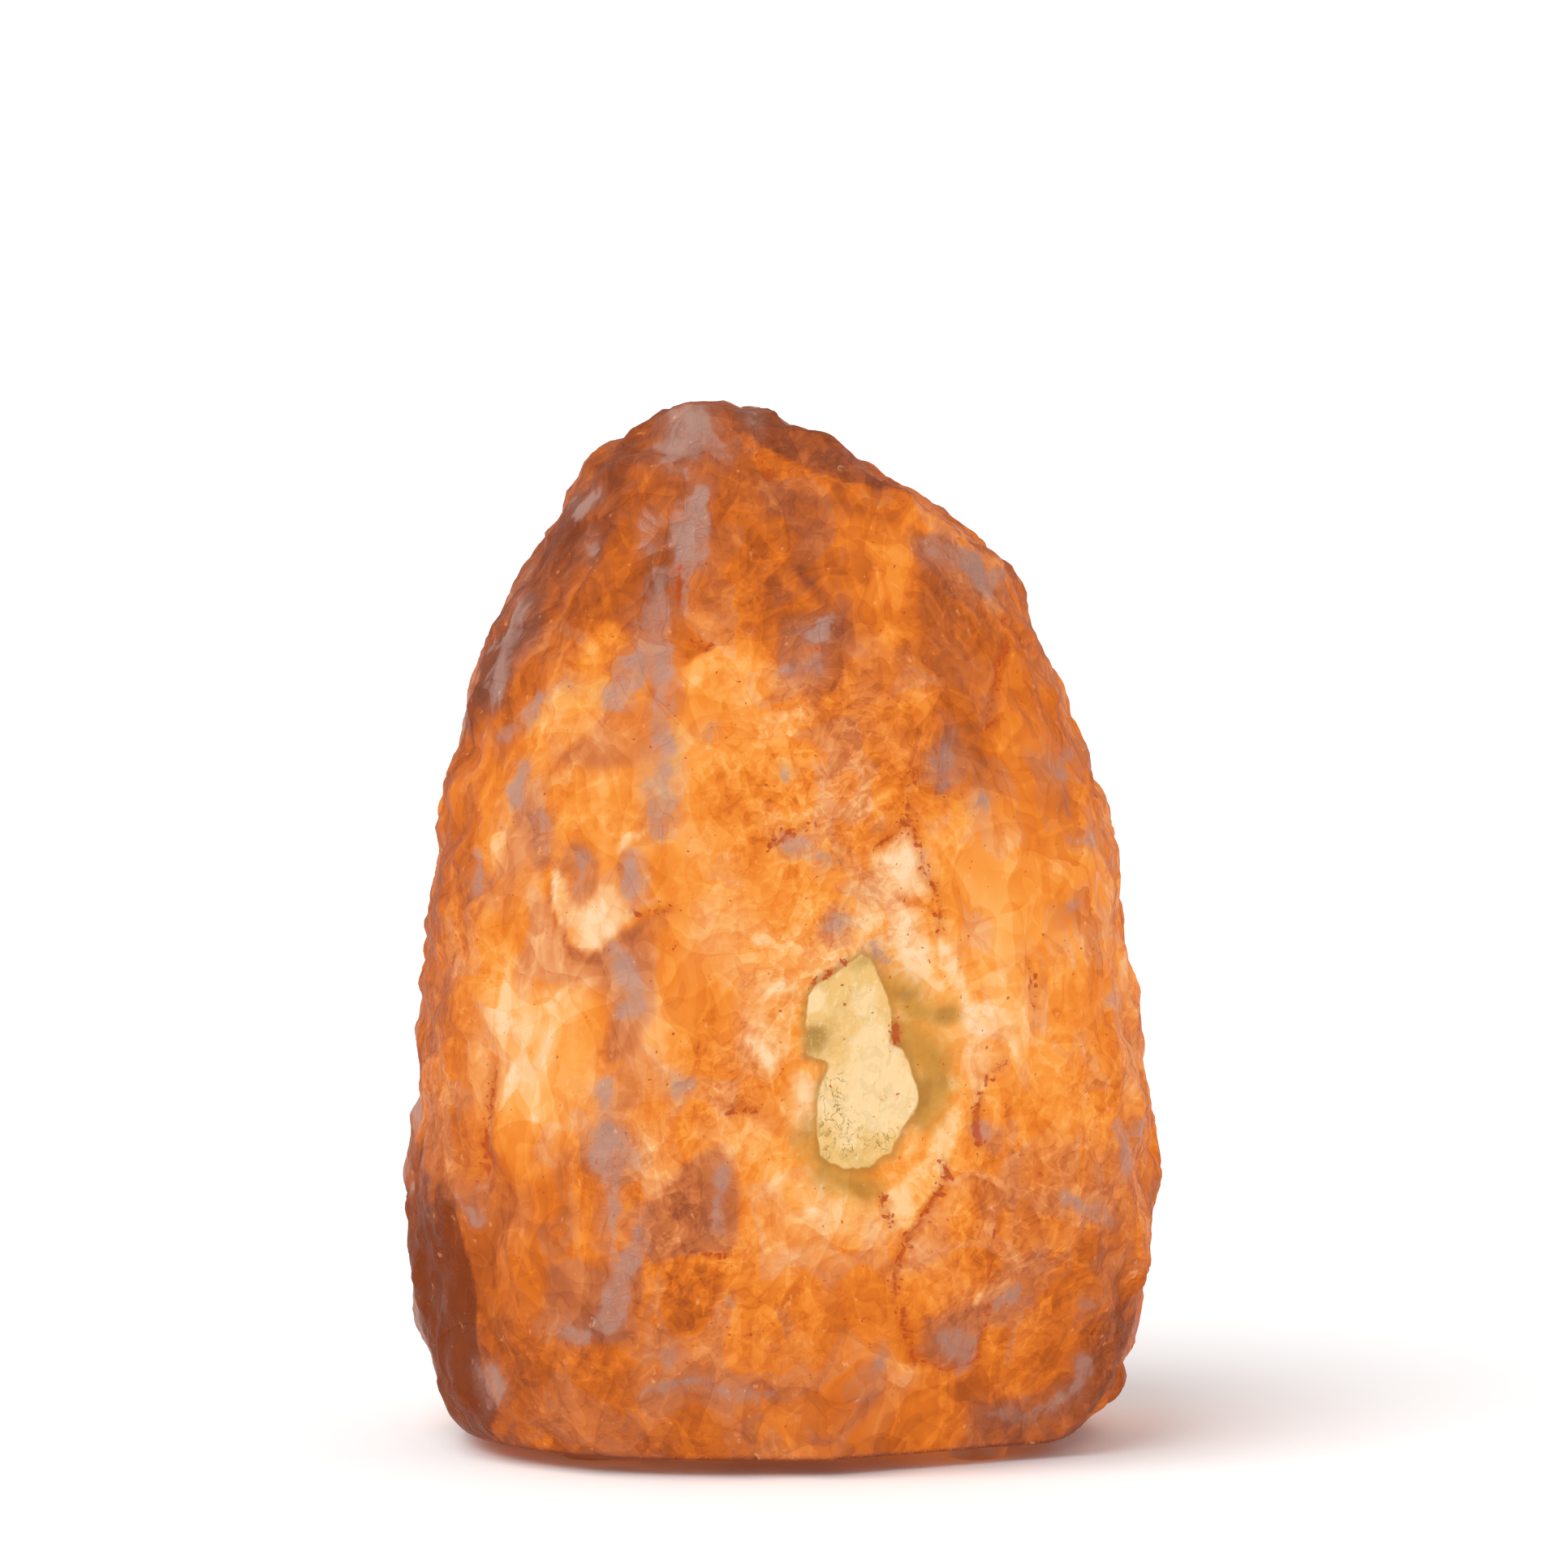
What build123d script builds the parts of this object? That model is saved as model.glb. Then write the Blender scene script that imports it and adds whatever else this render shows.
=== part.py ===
from build123d import *
import math
import os

# Salt crystal lamp that stands on its own sawn underside, with no wooden plinth.
# A rough-hewn block of rock salt is drilled from below. A small screw-base lampholder
# carries a 15 W pear bulb and is pushed up the bore, where two spring arms grip the wall.
# Frame: origin on the surface under the middle of the crystal, +Z up, -Y the front.

os.makedirs("parts", exist_ok=True)

# ---- crystal -------------------------------------------------------------------------
crystal_height = 194.0
crystal_width = 143.0
crystal_depth = 122.0
girth_power = 2.5  # 2 gives round girths, more gives squarer ones
girth_points = 16
waver = 0.03  # how far a girth swells and shrinks between its sides
# Each row is one girth of the rough block, from the underside up: its height as a share
# of the crystal's, then its reach left, right, front and back as shares of half the
# crystal's width or depth.
girths = [
    (0.00, 0.850, 0.800, 0.795, 0.780),
    (0.04, 0.920, 0.892, 0.875, 0.860),
    (0.12, 0.972, 0.962, 0.945, 0.940),
    (0.20, 0.998, 1.002, 0.975, 0.970),
    (0.30, 0.980, 0.997, 0.990, 0.985),
    (0.40, 0.967, 0.945, 0.975, 0.985),
    (0.52, 0.940, 0.914, 0.930, 0.960),
    (0.60, 0.910, 0.870, 0.870, 0.910),
    (0.68, 0.848, 0.788, 0.800, 0.840),
    (0.76, 0.795, 0.693, 0.710, 0.750),
    (0.84, 0.683, 0.603, 0.600, 0.640),
    (0.90, 0.610, 0.545, 0.500, 0.540),
    (0.96, 0.495, 0.440, 0.360, 0.390),
    (1.00, 0.330, 0.240, 0.170, 0.190),
]
# Cleavage faces: a point on the face as shares of half the width, half the depth and the
# height, then the way the face looks.
cleavages = {
    "top_right": ((0.295, 0.00, 0.919), (0.545, 0.08, 0.835)),
    "top_left": ((-0.36, 0.24, 0.965), (-0.42, 0.46, 0.78)),
    "left_heel": ((-0.86, -0.50, 0.12), (-0.90, -0.42, -0.16)),
    "right_front": ((0.58, -0.74, 0.15), (0.42, -0.84, -0.36)),
    "right_shoulder": ((0.66, -0.52, 0.70), (0.74, -0.60, 0.30)),
    "back_right": ((0.34, 0.86, 0.56), (0.36, 0.90, 0.26)),
    "back_left": ((-0.56, 0.66, 0.64), (-0.52, 0.80, 0.30)),
    "back_heel": ((0.10, 0.93, 0.10), (0.08, 0.97, -0.22)),
}
scar_depth = 1.1  # of a flake scar's flat face below the rough skin
scar_reach = 0.06  # how far about a scar the skin's slope is taken, in radians and height shares
# Flake scars, where the block was struck: the way round from the right side in degrees, the
# height as a share of the crystal's, and the depth as a share of scar_depth.
flake_scars = {
    "front": [
        (236, 0.53, 1.2),
        (284, 0.35, 1.3),
        (316, 0.50, 1.2),
        (223, 0.37, 1.1),
        (299, 0.83, 0.9),
        (268, 0.84, 1.0),
        (260, 0.68, 0.9),
        (311, 0.72, 1.0),
        (209, 0.84, 0.9),
        (215, 0.69, 1.1),
        (217, 0.22, 1.1),
        (256, 0.24, 1.0),
        (278, 0.14, 0.9),
        (303, 0.19, 1.2),
        (262, 0.47, 0.7),
        (292, 0.58, 0.9),
    ],
    "right": [
        (331, 0.22, 1.1),
        (342, 0.42, 1.1),
        (340, 0.64, 1.0),
        (2, 0.14, 0.9),
        (5, 0.52, 1.1),
        (10, 0.33, 1.0),
        (22, 0.68, 0.9),
        (28, 0.20, 1.1),
    ],
    "back": [
        (40, 0.42, 1.1),
        (56, 0.58, 0.9),
        (62, 0.26, 1.2),
        (84, 0.44, 1.0),
        (88, 0.72, 0.9),
        (98, 0.20, 1.1),
        (112, 0.56, 1.0),
        (122, 0.34, 1.2),
    ],
    "left": [
        (142, 0.16, 1.0),
        (146, 0.50, 1.1),
        (158, 0.72, 0.9),
        (164, 0.33, 1.1),
        (184, 0.18, 0.9),
        (187, 0.56, 1.1),
        (196, 0.40, 1.0),
    ],
}
bore_radius = 24.0
bore_depth = 124.0
bore_end_fillet = 5.0
groove_width = 10.0
groove_depth = 10.0

# ---- feet ----------------------------------------------------------------------------
foot_height = 3.0
foot_radius = 6.5
foot_tread_radius = 5.5
foot_edge = 0.6
foot_reach_x = 36.0
foot_reach_y = 22.0

# ---- clearances ----------------------------------------------------------------------
screwed_gap = 0.05  # between two parts that screw or slide together
spring_gap = 0.3  # between a spring arm and the bore wall
seat_gap = 0.3  # between the bulb and the holder's centre contact
contact_gap = 0.3  # between the live leaf and the neutral sleeve's foot

# ---- cord grip: plastic gland that screws up into the holder ---------------------------
cord_bend_room = 11.0  # left under the grip for the cord to turn into the groove
cord_hole_radius = 3.3
grip_radius = 7.5
grip_height = 9.0
grip_flat = 12.6  # across the two spanner flats
entry_thread_radius = 4.95  # M10 x 1
entry_thread_length = 7.5
grip_screw_radius = 2.0
grip_screw_length = 4.6
screw_slot = 0.7

# ---- spring clip and lock washer ---------------------------------------------------------
clip_thickness = 0.8
clip_width = 10.0
clip_eye_radius = 8.5  # round middle of the flat part, about the stem's hole
clip_foot_reach = 17.0  # half length of the flat part
clip_touch_rise = 24.0  # height above the flat where the arm meets the bore
clip_tip_rise = 37.0
clip_tip_inset = 4.5
clip_bend_radius = 3.0
clip_bend_share = 0.9  # how much of its corner the rounded bend is set out by
washer_thickness = 0.7
washer_radius = 8.0
washer_teeth = 12
washer_tooth_depth = 1.2

# ---- holder cap, shell and contact block -------------------------------------------------
cap_neck_radius = 8.5
cap_neck_height = 5.5
cap_flare_height = 4.0
cap_radius = 14.0
cap_height = 15.5
cap_wall = 1.6
cap_ribs = 24
cap_rib_radius = 0.45
cap_spigot_radius = 12.6  # screws up inside the shell
cap_spigot_height = 4.5
shell_radius = 14.0
shell_skirt_height = 11.0
shell_neck_radius = 11.6
shell_neck_height = 14.5
shell_bore_radius = 8.6
shell_mouth_chamfer = 0.8
block_height = 5.5
block_boss_radius = 8.2
block_boss_height = 1.5

# ---- terminals and contacts ---------------------------------------------------------------
terminal_offset = 6.0
terminal_width = 5.4
terminal_depth = 6.5
terminal_height = 5.2
wire_hole_radius = 1.2
terminal_screw_radius = 1.5
terminal_screw_head_radius = 2.2
terminal_screw_head_height = 1.3
terminal_screw_grip = 2.6
rivet_radius = 0.7
rivet_head_radius = 1.2
rivet_head_height = 0.5
leaf_thickness = 0.4
leaf_width = 3.0
leaf_rise = 1.5
leaf_reach = 3.0
leaf_tip_rise = 1.05  # the leaf's tip drops a little again
wire_hole_depth = 4.2

# ---- small Edison screw thread ------------------------------------------------------------
thread_pitch = 2.822
lamp_thread_radius = 6.15  # root of the bulb cap
lamp_ridge_radius = 0.8
holder_ridge_radius = 0.55
thread_clearance = 0.15
lamp_thread_turns = 4
holder_thread_turns = 4
thread_sheet = 0.5  # wall of the holder's threaded sleeve
sleeve_foot_width = 1.5

# ---- bulb -------------------------------------------------------------------------------------
bulb_length = 57.0
globe_radius = 13.0
glass_wall = 0.7
globe_neck_radius = 5.4
globe_neck_above = 3.0  # straight neck above the cap's rim
globe_neck_below = 4.0  # neck hidden inside the cap
globe_foot_step = 0.01  # by which the hollow ends short of the neck's foot
globe_shoulder_pull = (1.0, 1.3)  # how strongly the shoulder leaves the neck and meets the ball
contact_radius = 2.2
contact_height = 1.2
insulator_height = 2.2
insulator_top_radius = 5.2
lamp_cap_height = 18.0
lamp_cap_wall = 0.3
lamp_cap_first_thread = 3.2  # from the cap's lower rim up to its first ridge
stem_tube_radius = 2.2
stem_flare_radius = 4.4
stem_flare_height = 3.0
stem_flare_below = 3.5  # from the cap's rim down to the flare's foot
stem_rise = 4.25  # from the cap's rim up to the pinch
pinch_width = 6.4
pinch_thickness = 2.4
pinch_height = 5.0
lead_radius = 0.3
lead_spread = 6.5
lead_rise = 4.0
support_radius = 0.2
support_rod_radius = 1.0
support_rod_height = 2.4
glass_overlap = 0.5  # by which glass and the wires sealed in it run into one another
filament_radius = 0.3
filament_bow = 4.0  # how far the filament stands out in front of its leads

# ---- levels that follow from the sizes above, all heights above the surface --------------------
underside = foot_height
grip_bottom = underside + cord_bend_room
washer_bottom = grip_bottom + grip_height
clip_bottom = washer_bottom + washer_thickness
cap_bottom = clip_bottom + clip_thickness
cap_top = cap_bottom + cap_height
shell_bottom = cap_top
shell_shoulder = shell_bottom + shell_skirt_height
shell_top = shell_shoulder + shell_neck_height
spigot_top = cap_top + cap_spigot_height
block_bottom = spigot_top
block_top = block_bottom + block_height
boss_top = block_top + block_boss_height
leaf_top = boss_top + leaf_thickness + leaf_rise
contact_bottom = leaf_top + seat_gap
insulator_bottom = contact_bottom + contact_height
lamp_cap_bottom = insulator_bottom + insulator_height
lamp_cap_top = lamp_cap_bottom + lamp_cap_height
bulb_top = contact_bottom + bulb_length
pinch_bottom = lamp_cap_top + stem_rise
pinch_top = pinch_bottom + pinch_height
filament_level = pinch_top + lead_rise
lamp_ridge_bottom = lamp_cap_bottom + lamp_cap_first_thread
# The holder's ridge starts half a pitch from the bulb's, so each lies in the other's groove.
holder_ridge_bottom = lamp_ridge_bottom - thread_pitch / 2

# ---- radii and offsets that follow --------------------------------------------------------------
sleeve_inner_radius = lamp_thread_radius + lamp_ridge_radius + thread_clearance
sleeve_outer_radius = sleeve_inner_radius + thread_sheet
neutral_rivet_x = sleeve_inner_radius - rivet_head_radius - screwed_gap
leaf_room = sleeve_outer_radius - sleeve_foot_width - contact_gap
leaf_end_x = -math.sqrt(leaf_room**2 - (leaf_width / 2) ** 2)
live_rivet_x = leaf_end_x + rivet_head_radius + screwed_gap

UP = (Align.CENTER, Align.CENTER, Align.MIN)


def post(radius, height, bottom, x=0.0, y=0.0):
    """A round post standing on the level called bottom."""
    return Pos(x, y, bottom) * Cylinder(radius, height, align=UP)


def slab(width, depth, height, bottom, x=0.0, y=0.0):
    """A block standing on the level called bottom."""
    return Pos(x, y, bottom) * Box(width, depth, height, align=UP)


def turned(*outline):
    """A solid of revolution about the lamp's axis from (radius, level) corners."""
    face = make_face(Polyline(*[(r, 0, z) for r, z in outline], close=True))
    return revolve(face, axis=Axis.Z)


# ---- crystal ---------------------------------------------------------------------------------
def rough_point(angle, share, left, right, front, back):
    """A point of the rough block's skin: its girths are squared ovals that swell unevenly."""
    c, s = math.cos(angle), math.sin(angle)
    reach_x = (right if c > 0 else left) * crystal_width / 2
    reach_y = (back if s > 0 else front) * crystal_depth / 2
    oval = (abs(c) / reach_x) ** girth_power + (abs(s) / reach_y) ** girth_power
    swell = math.sin(3 * angle + 5 * share) + math.sin(5 * angle - 7 * share)
    radius = oval ** (-1 / girth_power) * (1 + waver * s * s * swell)
    return Vector(radius * c, radius * s, underside + share * crystal_height)


def girth(*row):
    """One closed outline of the rough block."""
    angles = [2 * math.pi * k / girth_points for k in range(girth_points)]
    return make_face(Spline(*[rough_point(angle, *row) for angle in angles], periodic=True))


def row_at(share):
    """The girth at any height, drawn evenly between the two rows next to it."""
    for low, high in zip(girths, girths[1:]):
        if share <= high[0]:
            break
    part = (share - low[0]) / (high[0] - low[0])
    return [a + part * (b - a) for a, b in zip(low, high)]


def cleave(rock, place, way):
    """Splits the rough block along one natural cleavage face."""
    x, y, z = place
    point = (x * crystal_width / 2, y * crystal_depth / 2, underside + z * crystal_height)
    return split(rock, bisect_by=Plane(origin=point, z_dir=way), keep=Keep.BOTTOM)


def strike(rock, turn, share, deep):
    """Knocks one shallow flake off the rough block."""
    angle = math.radians(turn)
    row, above, below = row_at(share), row_at(share + scar_reach), row_at(share - scar_reach)
    around = rough_point(angle + scar_reach, *row) - rough_point(angle - scar_reach, *row)
    upward = rough_point(angle, *above) - rough_point(angle, *below)
    way = around.cross(upward).normalized()
    point = rough_point(angle, *row) - way * scar_depth * deep
    return split(rock, bisect_by=Plane(origin=point, z_dir=way), keep=Keep.BOTTOM)


def make_crystal():
    rock = loft([girth(*row) for row in girths])
    for place, way in cleavages.values():
        rock = cleave(rock, place, way)
    for scars in flake_scars.values():
        for scar in scars:
            rock = strike(rock, *scar)
    box = rock.bounding_box()
    rock = Pos(-box.center().X, -box.center().Y, 0) * rock
    bore = post(bore_radius, bore_depth, underside)
    bore = fillet(bore.edges().group_by(Axis.Z)[-1], bore_end_fillet)
    groove = slab(groove_width, crystal_depth, groove_depth, underside, y=crystal_depth / 2)
    return rock - bore - groove


# ---- feet ------------------------------------------------------------------------------------
def make_foot(x, y):
    """A stick-on bumper of clear rubber, slightly narrower where it stands."""
    foot = Pos(x, y, 0) * Cone(foot_tread_radius, foot_radius, foot_height, align=UP)
    return fillet(foot.edges().group_by(Axis.Z)[0], foot_edge)


# ---- cord grip -------------------------------------------------------------------------------
def make_cord_grip():
    """Gland with a hollow M10 stem. Its wall is tapped for the screw that holds the cord."""
    body = post(grip_radius, grip_height, grip_bottom)
    body &= slab(4 * grip_radius, grip_flat, grip_height, grip_bottom)
    stem_length = washer_thickness + clip_thickness + entry_thread_length
    stem = post(entry_thread_radius, stem_length, washer_bottom)
    through = post(cord_hole_radius, grip_height + stem_length, grip_bottom)
    return body + stem - through - grip_screw_hole(grip_screw_radius + screwed_gap)


def grip_screw_hole(radius):
    """The sideways cylinder that the cord screw runs in, from the gland's axis outwards."""
    level = grip_bottom + grip_height / 2
    return Pos(0, 0, level) * Rot(0, 90, 0) * Cylinder(radius, 2 * grip_radius, align=UP)


def make_grip_screw():
    level = grip_bottom + grip_height / 2
    start = cord_hole_radius + screwed_gap
    side = Rot(0, 90, 0)
    screw = Pos(start, 0, level) * side * Cylinder(grip_screw_radius, grip_screw_length, align=UP)
    slot = Box(2 * screw_slot, 4 * grip_screw_radius, screw_slot)
    return screw - Pos(start + grip_screw_length, 0, level) * slot


# ---- spring clip and lock washer ----------------------------------------------------------------
def make_spring_clip():
    """One bent strip: a flat foot held under the holder and two arms that bow out to the bore."""
    middle = clip_bottom + clip_thickness / 2
    reach = bore_radius - spring_gap  # the arm's outer corners come this near the wall
    touch_x = math.sqrt(reach**2 - (clip_width / 2) ** 2) - clip_thickness / 2
    # The bend that touches the wall is rounded, so its corner may stand a little proud of it.
    arm_slope = math.atan2(touch_x - clip_foot_reach, clip_touch_rise)
    tip_slope = math.atan2(clip_tip_inset, clip_tip_rise - clip_touch_rise)
    half_turn = (arm_slope + tip_slope) / 2
    proud = clip_bend_radius * (1 / math.cos(half_turn) - 1)
    touch = (touch_x + clip_bend_share * proud, middle + clip_touch_rise)
    foot = (clip_foot_reach, middle)
    tip = (touch_x - clip_tip_inset, middle + clip_tip_rise)
    right = [foot, touch, tip]
    points = [(-x, 0, z) for x, z in reversed(right)] + [(x, 0, z) for x, z in right]
    path = FilletPolyline(*points, radius=clip_bend_radius)
    start = Plane(origin=path @ 0, z_dir=path % 0, x_dir=(0, 1, 0))
    strip = sweep(start * Rectangle(clip_width, clip_thickness), path=path)
    strip += post(clip_eye_radius, clip_thickness, clip_bottom)
    hole_bottom = clip_bottom - clip_thickness / 2
    return strip - post(entry_thread_radius + screwed_gap, 2 * clip_thickness, hole_bottom)


def make_lock_washer():
    """Shake-proof washer with teeth around its rim."""
    hole = post(entry_thread_radius + screwed_gap, washer_thickness, washer_bottom)
    washer = post(washer_radius, washer_thickness, washer_bottom) - hole
    pitch_angle = 360 / washer_teeth
    notch_width = math.pi * washer_radius / washer_teeth
    notch = slab(2 * washer_tooth_depth, notch_width, washer_thickness, washer_bottom, x=washer_radius)
    for k in range(washer_teeth):
        washer -= Rot(0, 0, k * pitch_angle) * notch
    return washer


# ---- holder ------------------------------------------------------------------------------------
def make_holder_cap():
    """Lower half of the holder: M10 neck, flare, ribbed skirt and the spigot inside the shell."""
    flare_top = cap_bottom + cap_neck_height + cap_flare_height
    outside = turned(
        (0, cap_bottom),
        (cap_neck_radius, cap_bottom),
        (cap_neck_radius, cap_bottom + cap_neck_height),
        (cap_radius, flare_top),
        (cap_radius, cap_top),
        (cap_spigot_radius, cap_top),
        (cap_spigot_radius, spigot_top),
        (0, spigot_top),
    )
    inner_radius = cap_spigot_radius - cap_wall
    floor = cap_bottom + cap_neck_height + cap_wall
    outside -= turned(
        (0, floor),
        (cap_neck_radius - cap_wall, floor),
        (inner_radius, flare_top + cap_wall),
        (inner_radius, spigot_top),
        (0, spigot_top),
    )
    outside -= post(entry_thread_radius + screwed_gap, cap_neck_height + cap_wall, cap_bottom)
    rib = post(cap_rib_radius, cap_top - flare_top, flare_top, x=cap_radius)
    ribs = [Rot(0, 0, 360 * k / cap_ribs) * rib for k in range(cap_ribs)]
    return outside.fuse(*ribs)


def make_holder_shell():
    """Upper half of the holder. It screws over the cap's spigot and traps the contact block."""
    shell = turned(
        (0, shell_bottom),
        (shell_radius, shell_bottom),
        (shell_radius, shell_shoulder),
        (shell_neck_radius, shell_shoulder + shell_radius - shell_neck_radius),
        (shell_neck_radius, shell_top - shell_mouth_chamfer),
        (shell_neck_radius - shell_mouth_chamfer, shell_top),
        (0, shell_top),
    )
    shell -= post(cap_spigot_radius + screwed_gap, block_top - shell_bottom, shell_bottom)
    return shell - post(shell_bore_radius, shell_top - block_top, block_top)


def make_contact_block():
    """Ceramic insert that carries both contacts, with pockets for the rivet shanks."""
    block = post(cap_spigot_radius, block_height, block_bottom)
    block += post(block_boss_radius, block_boss_height, block_top)
    for x in (live_rivet_x, neutral_rivet_x):
        block -= post(rivet_radius + screwed_gap, block_height + block_boss_height, block_bottom, x=x)
    return block


def ridge(radius, wire_radius, turns, bottom, start_angle):
    """A round thread ridge wound about the lamp's axis, rising to the right like any screw."""
    line = Helix(pitch=thread_pitch, height=thread_pitch * turns, radius=radius)
    section = Plane(origin=line @ 0, z_dir=line % 0, x_dir=(1, 0, 0)) * Circle(wire_radius)
    return Pos(0, 0, bottom) * Rot(0, 0, start_angle) * sweep(section, path=line, is_frenet=True)


def make_thread_sleeve():
    """Brass sleeve with a rolled thread and a turned-in foot, riveted to the block."""
    sleeve = post(sleeve_outer_radius, shell_top - boss_top - 2 * shell_mouth_chamfer, boss_top)
    sleeve -= post(sleeve_inner_radius, shell_top, boss_top + thread_sheet)
    sleeve -= post(sleeve_outer_radius - sleeve_foot_width, 2 * thread_sheet, boss_top - thread_sheet / 2)
    tab_start = neutral_rivet_x - rivet_head_radius - screwed_gap
    tab_length = sleeve_inner_radius - tab_start
    tab = slab(tab_length, 2 * rivet_head_radius, thread_sheet, boss_top, x=tab_start + tab_length / 2)
    sleeve += tab
    sleeve -= post(rivet_radius + screwed_gap, thread_sheet, boss_top, x=neutral_rivet_x)
    wound = ridge(sleeve_inner_radius, holder_ridge_radius, holder_thread_turns, holder_ridge_bottom, 0)
    wound &= post(sleeve_outer_radius - screwed_gap, shell_top, 0)
    return sleeve + wound


def make_centre_contact():
    """Springy brass leaf that bends up under the middle of the bulb."""
    middle = boss_top + leaf_thickness / 2
    path = FilletPolyline(
        (leaf_end_x, 0, middle),
        (live_rivet_x + rivet_head_radius + leaf_thickness, 0, middle),
        (0, 0, middle + leaf_rise),
        (leaf_reach, 0, middle + leaf_tip_rise),
        radius=leaf_thickness,
    )
    start = Plane(origin=path @ 0, z_dir=path % 0, x_dir=(0, 1, 0))
    leaf = sweep(start * Rectangle(leaf_width, leaf_thickness), path=path)
    hole_bottom = boss_top - leaf_thickness / 2
    return leaf - post(rivet_radius + screwed_gap, 2 * leaf_thickness, hole_bottom, x=live_rivet_x)


def make_rivet(x, seat):
    """A rivet through the block: head on the contact at seat, shank down to the terminal."""
    shank = post(rivet_radius, seat - block_bottom, block_bottom, x=x)
    return shank + post(rivet_head_radius, rivet_head_height, seat, x=x)


def make_terminal(side):
    """Brass terminal under the block, with a wire hole from below and a screw from outside."""
    x = side * terminal_offset
    bottom = block_bottom - terminal_height
    body = slab(terminal_width, terminal_depth, terminal_height, bottom, x=x)
    body -= post(wire_hole_radius, wire_hole_depth, bottom, x=x)
    reach = terminal_offset + terminal_width / 2 - terminal_screw_grip
    hole = Pos(side * reach, 0, bottom + terminal_height / 2) * Rot(0, side * 90, 0)
    return body - hole * Cylinder(terminal_screw_radius + screwed_gap, terminal_width, align=UP)


def make_terminal_screw(side):
    reach = terminal_offset + terminal_width / 2 - terminal_screw_grip + screwed_gap
    level = block_bottom - terminal_height / 2
    place = Pos(side * reach, 0, level) * Rot(0, side * 90, 0)
    length = terminal_screw_grip
    screw = Cylinder(terminal_screw_radius, length, align=UP)
    screw += Pos(0, 0, length) * Cylinder(terminal_screw_head_radius, terminal_screw_head_height, align=UP)
    slot_level = length + terminal_screw_head_height
    screw -= Pos(0, 0, slot_level) * Box(screw_slot, 4 * terminal_screw_head_radius, screw_slot)
    return place * screw


# ---- bulb --------------------------------------------------------------------------------------
def make_bulb_contact():
    button = post(contact_radius, contact_height, contact_bottom)
    return fillet(button.edges().group_by(Axis.Z)[0], contact_height / 2)


def make_bulb_insulator():
    """Black glass cone between the centre contact and the cap."""
    bottom = Pos(0, 0, insulator_bottom)
    return bottom * Cone(contact_radius + screwed_gap, insulator_top_radius, insulator_height, align=UP)


def make_bulb_cap():
    """Screw cap of the bulb: a thin sleeve with four turns of round thread."""
    sleeve = post(lamp_thread_radius, lamp_cap_height, lamp_cap_bottom)
    wound = ridge(lamp_thread_radius, lamp_ridge_radius, lamp_thread_turns, lamp_ridge_bottom, 0)
    return sleeve + wound - post(lamp_thread_radius - lamp_cap_wall, lamp_cap_height, lamp_cap_bottom)


def globe_outline(shrink):
    """Half outline of the pear: neck, shoulder and round end, drawn in by shrink."""
    neck = globe_neck_radius - shrink
    ball = globe_radius - shrink
    ball_level = bulb_top - globe_radius
    neck_top = lamp_cap_top + globe_neck_above
    bottom = lamp_cap_top - globe_neck_below + (globe_foot_step if shrink else 0)
    straight = Line((neck, 0, bottom), (neck, 0, neck_top))
    shoulder = Spline(
        (neck, 0, neck_top),
        (ball, 0, ball_level),
        tangents=[(0, 0, 1), (0, 0, 1)],
        tangent_scalars=globe_shoulder_pull,
    )
    crown = Plane.XZ * CenterArc((0, ball_level), ball, 0, 90)
    axis_line = Line((0, 0, ball_level + ball), (0, 0, bottom))
    foot = Line((0, 0, bottom), (neck, 0, bottom))
    return make_face([straight, shoulder, crown, axis_line, foot])


def make_bulb_globe():
    """Clear glass pear with a thin wall. Its neck reaches down inside the cap."""
    outside = revolve(globe_outline(0), axis=Axis.Z)
    return outside - revolve(globe_outline(glass_wall), axis=Axis.Z)


def make_bulb_stem():
    """Glass stem: flared foot, tube and the flat pinch that seals the leads."""
    flare_bottom = lamp_cap_top - stem_flare_below
    flare = Cone(stem_flare_radius, stem_tube_radius, stem_flare_height, align=UP)
    foot = Pos(0, 0, flare_bottom) * flare
    tube = post(stem_tube_radius, pinch_bottom - flare_bottom, flare_bottom)
    pinch = slab(pinch_width, pinch_thickness, pinch_height, pinch_bottom - glass_overlap)
    rod = post(support_rod_radius, support_rod_height, pinch_top - glass_overlap)
    return foot + tube + pinch + rod


def bent_wire(radius, *points):
    """A stiff wire through the points, with small bends at its corners."""
    path = FilletPolyline(*points, radius=2 * radius)
    section = Plane(origin=path @ 0, z_dir=path % 0) * Circle(radius)
    return sweep(section, path=path)


def make_lead(side):
    start = side * (pinch_width / 2 - 2 * lead_radius)
    level = pinch_top - glass_overlap
    return bent_wire(
        lead_radius,
        (start, 0, level),
        (start, 0, level + lead_rise / 3),
        (side * lead_spread, 0, filament_level - filament_radius - lead_radius),
    )


def make_filament():
    """The coil as one slim bowed tube between the two leads."""
    left, front, right = (-lead_spread, 0), (0, -filament_bow), (lead_spread, 0)
    arc = ThreePointArc(*[(x, y, filament_level) for x, y in (left, front, right)])
    section = Plane(origin=arc @ 0, z_dir=arc % 0) * Circle(filament_radius)
    return sweep(section, path=arc)


def make_filament_support():
    """Fine wire from the glass rod to the middle of the filament."""
    start = pinch_top - glass_overlap + support_rod_height
    end = filament_level - filament_radius - support_radius
    bend = start + 3 * support_radius
    return bent_wire(support_radius, (0, 0, start), (0, 0, bend), (0, -filament_bow, end))


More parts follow.
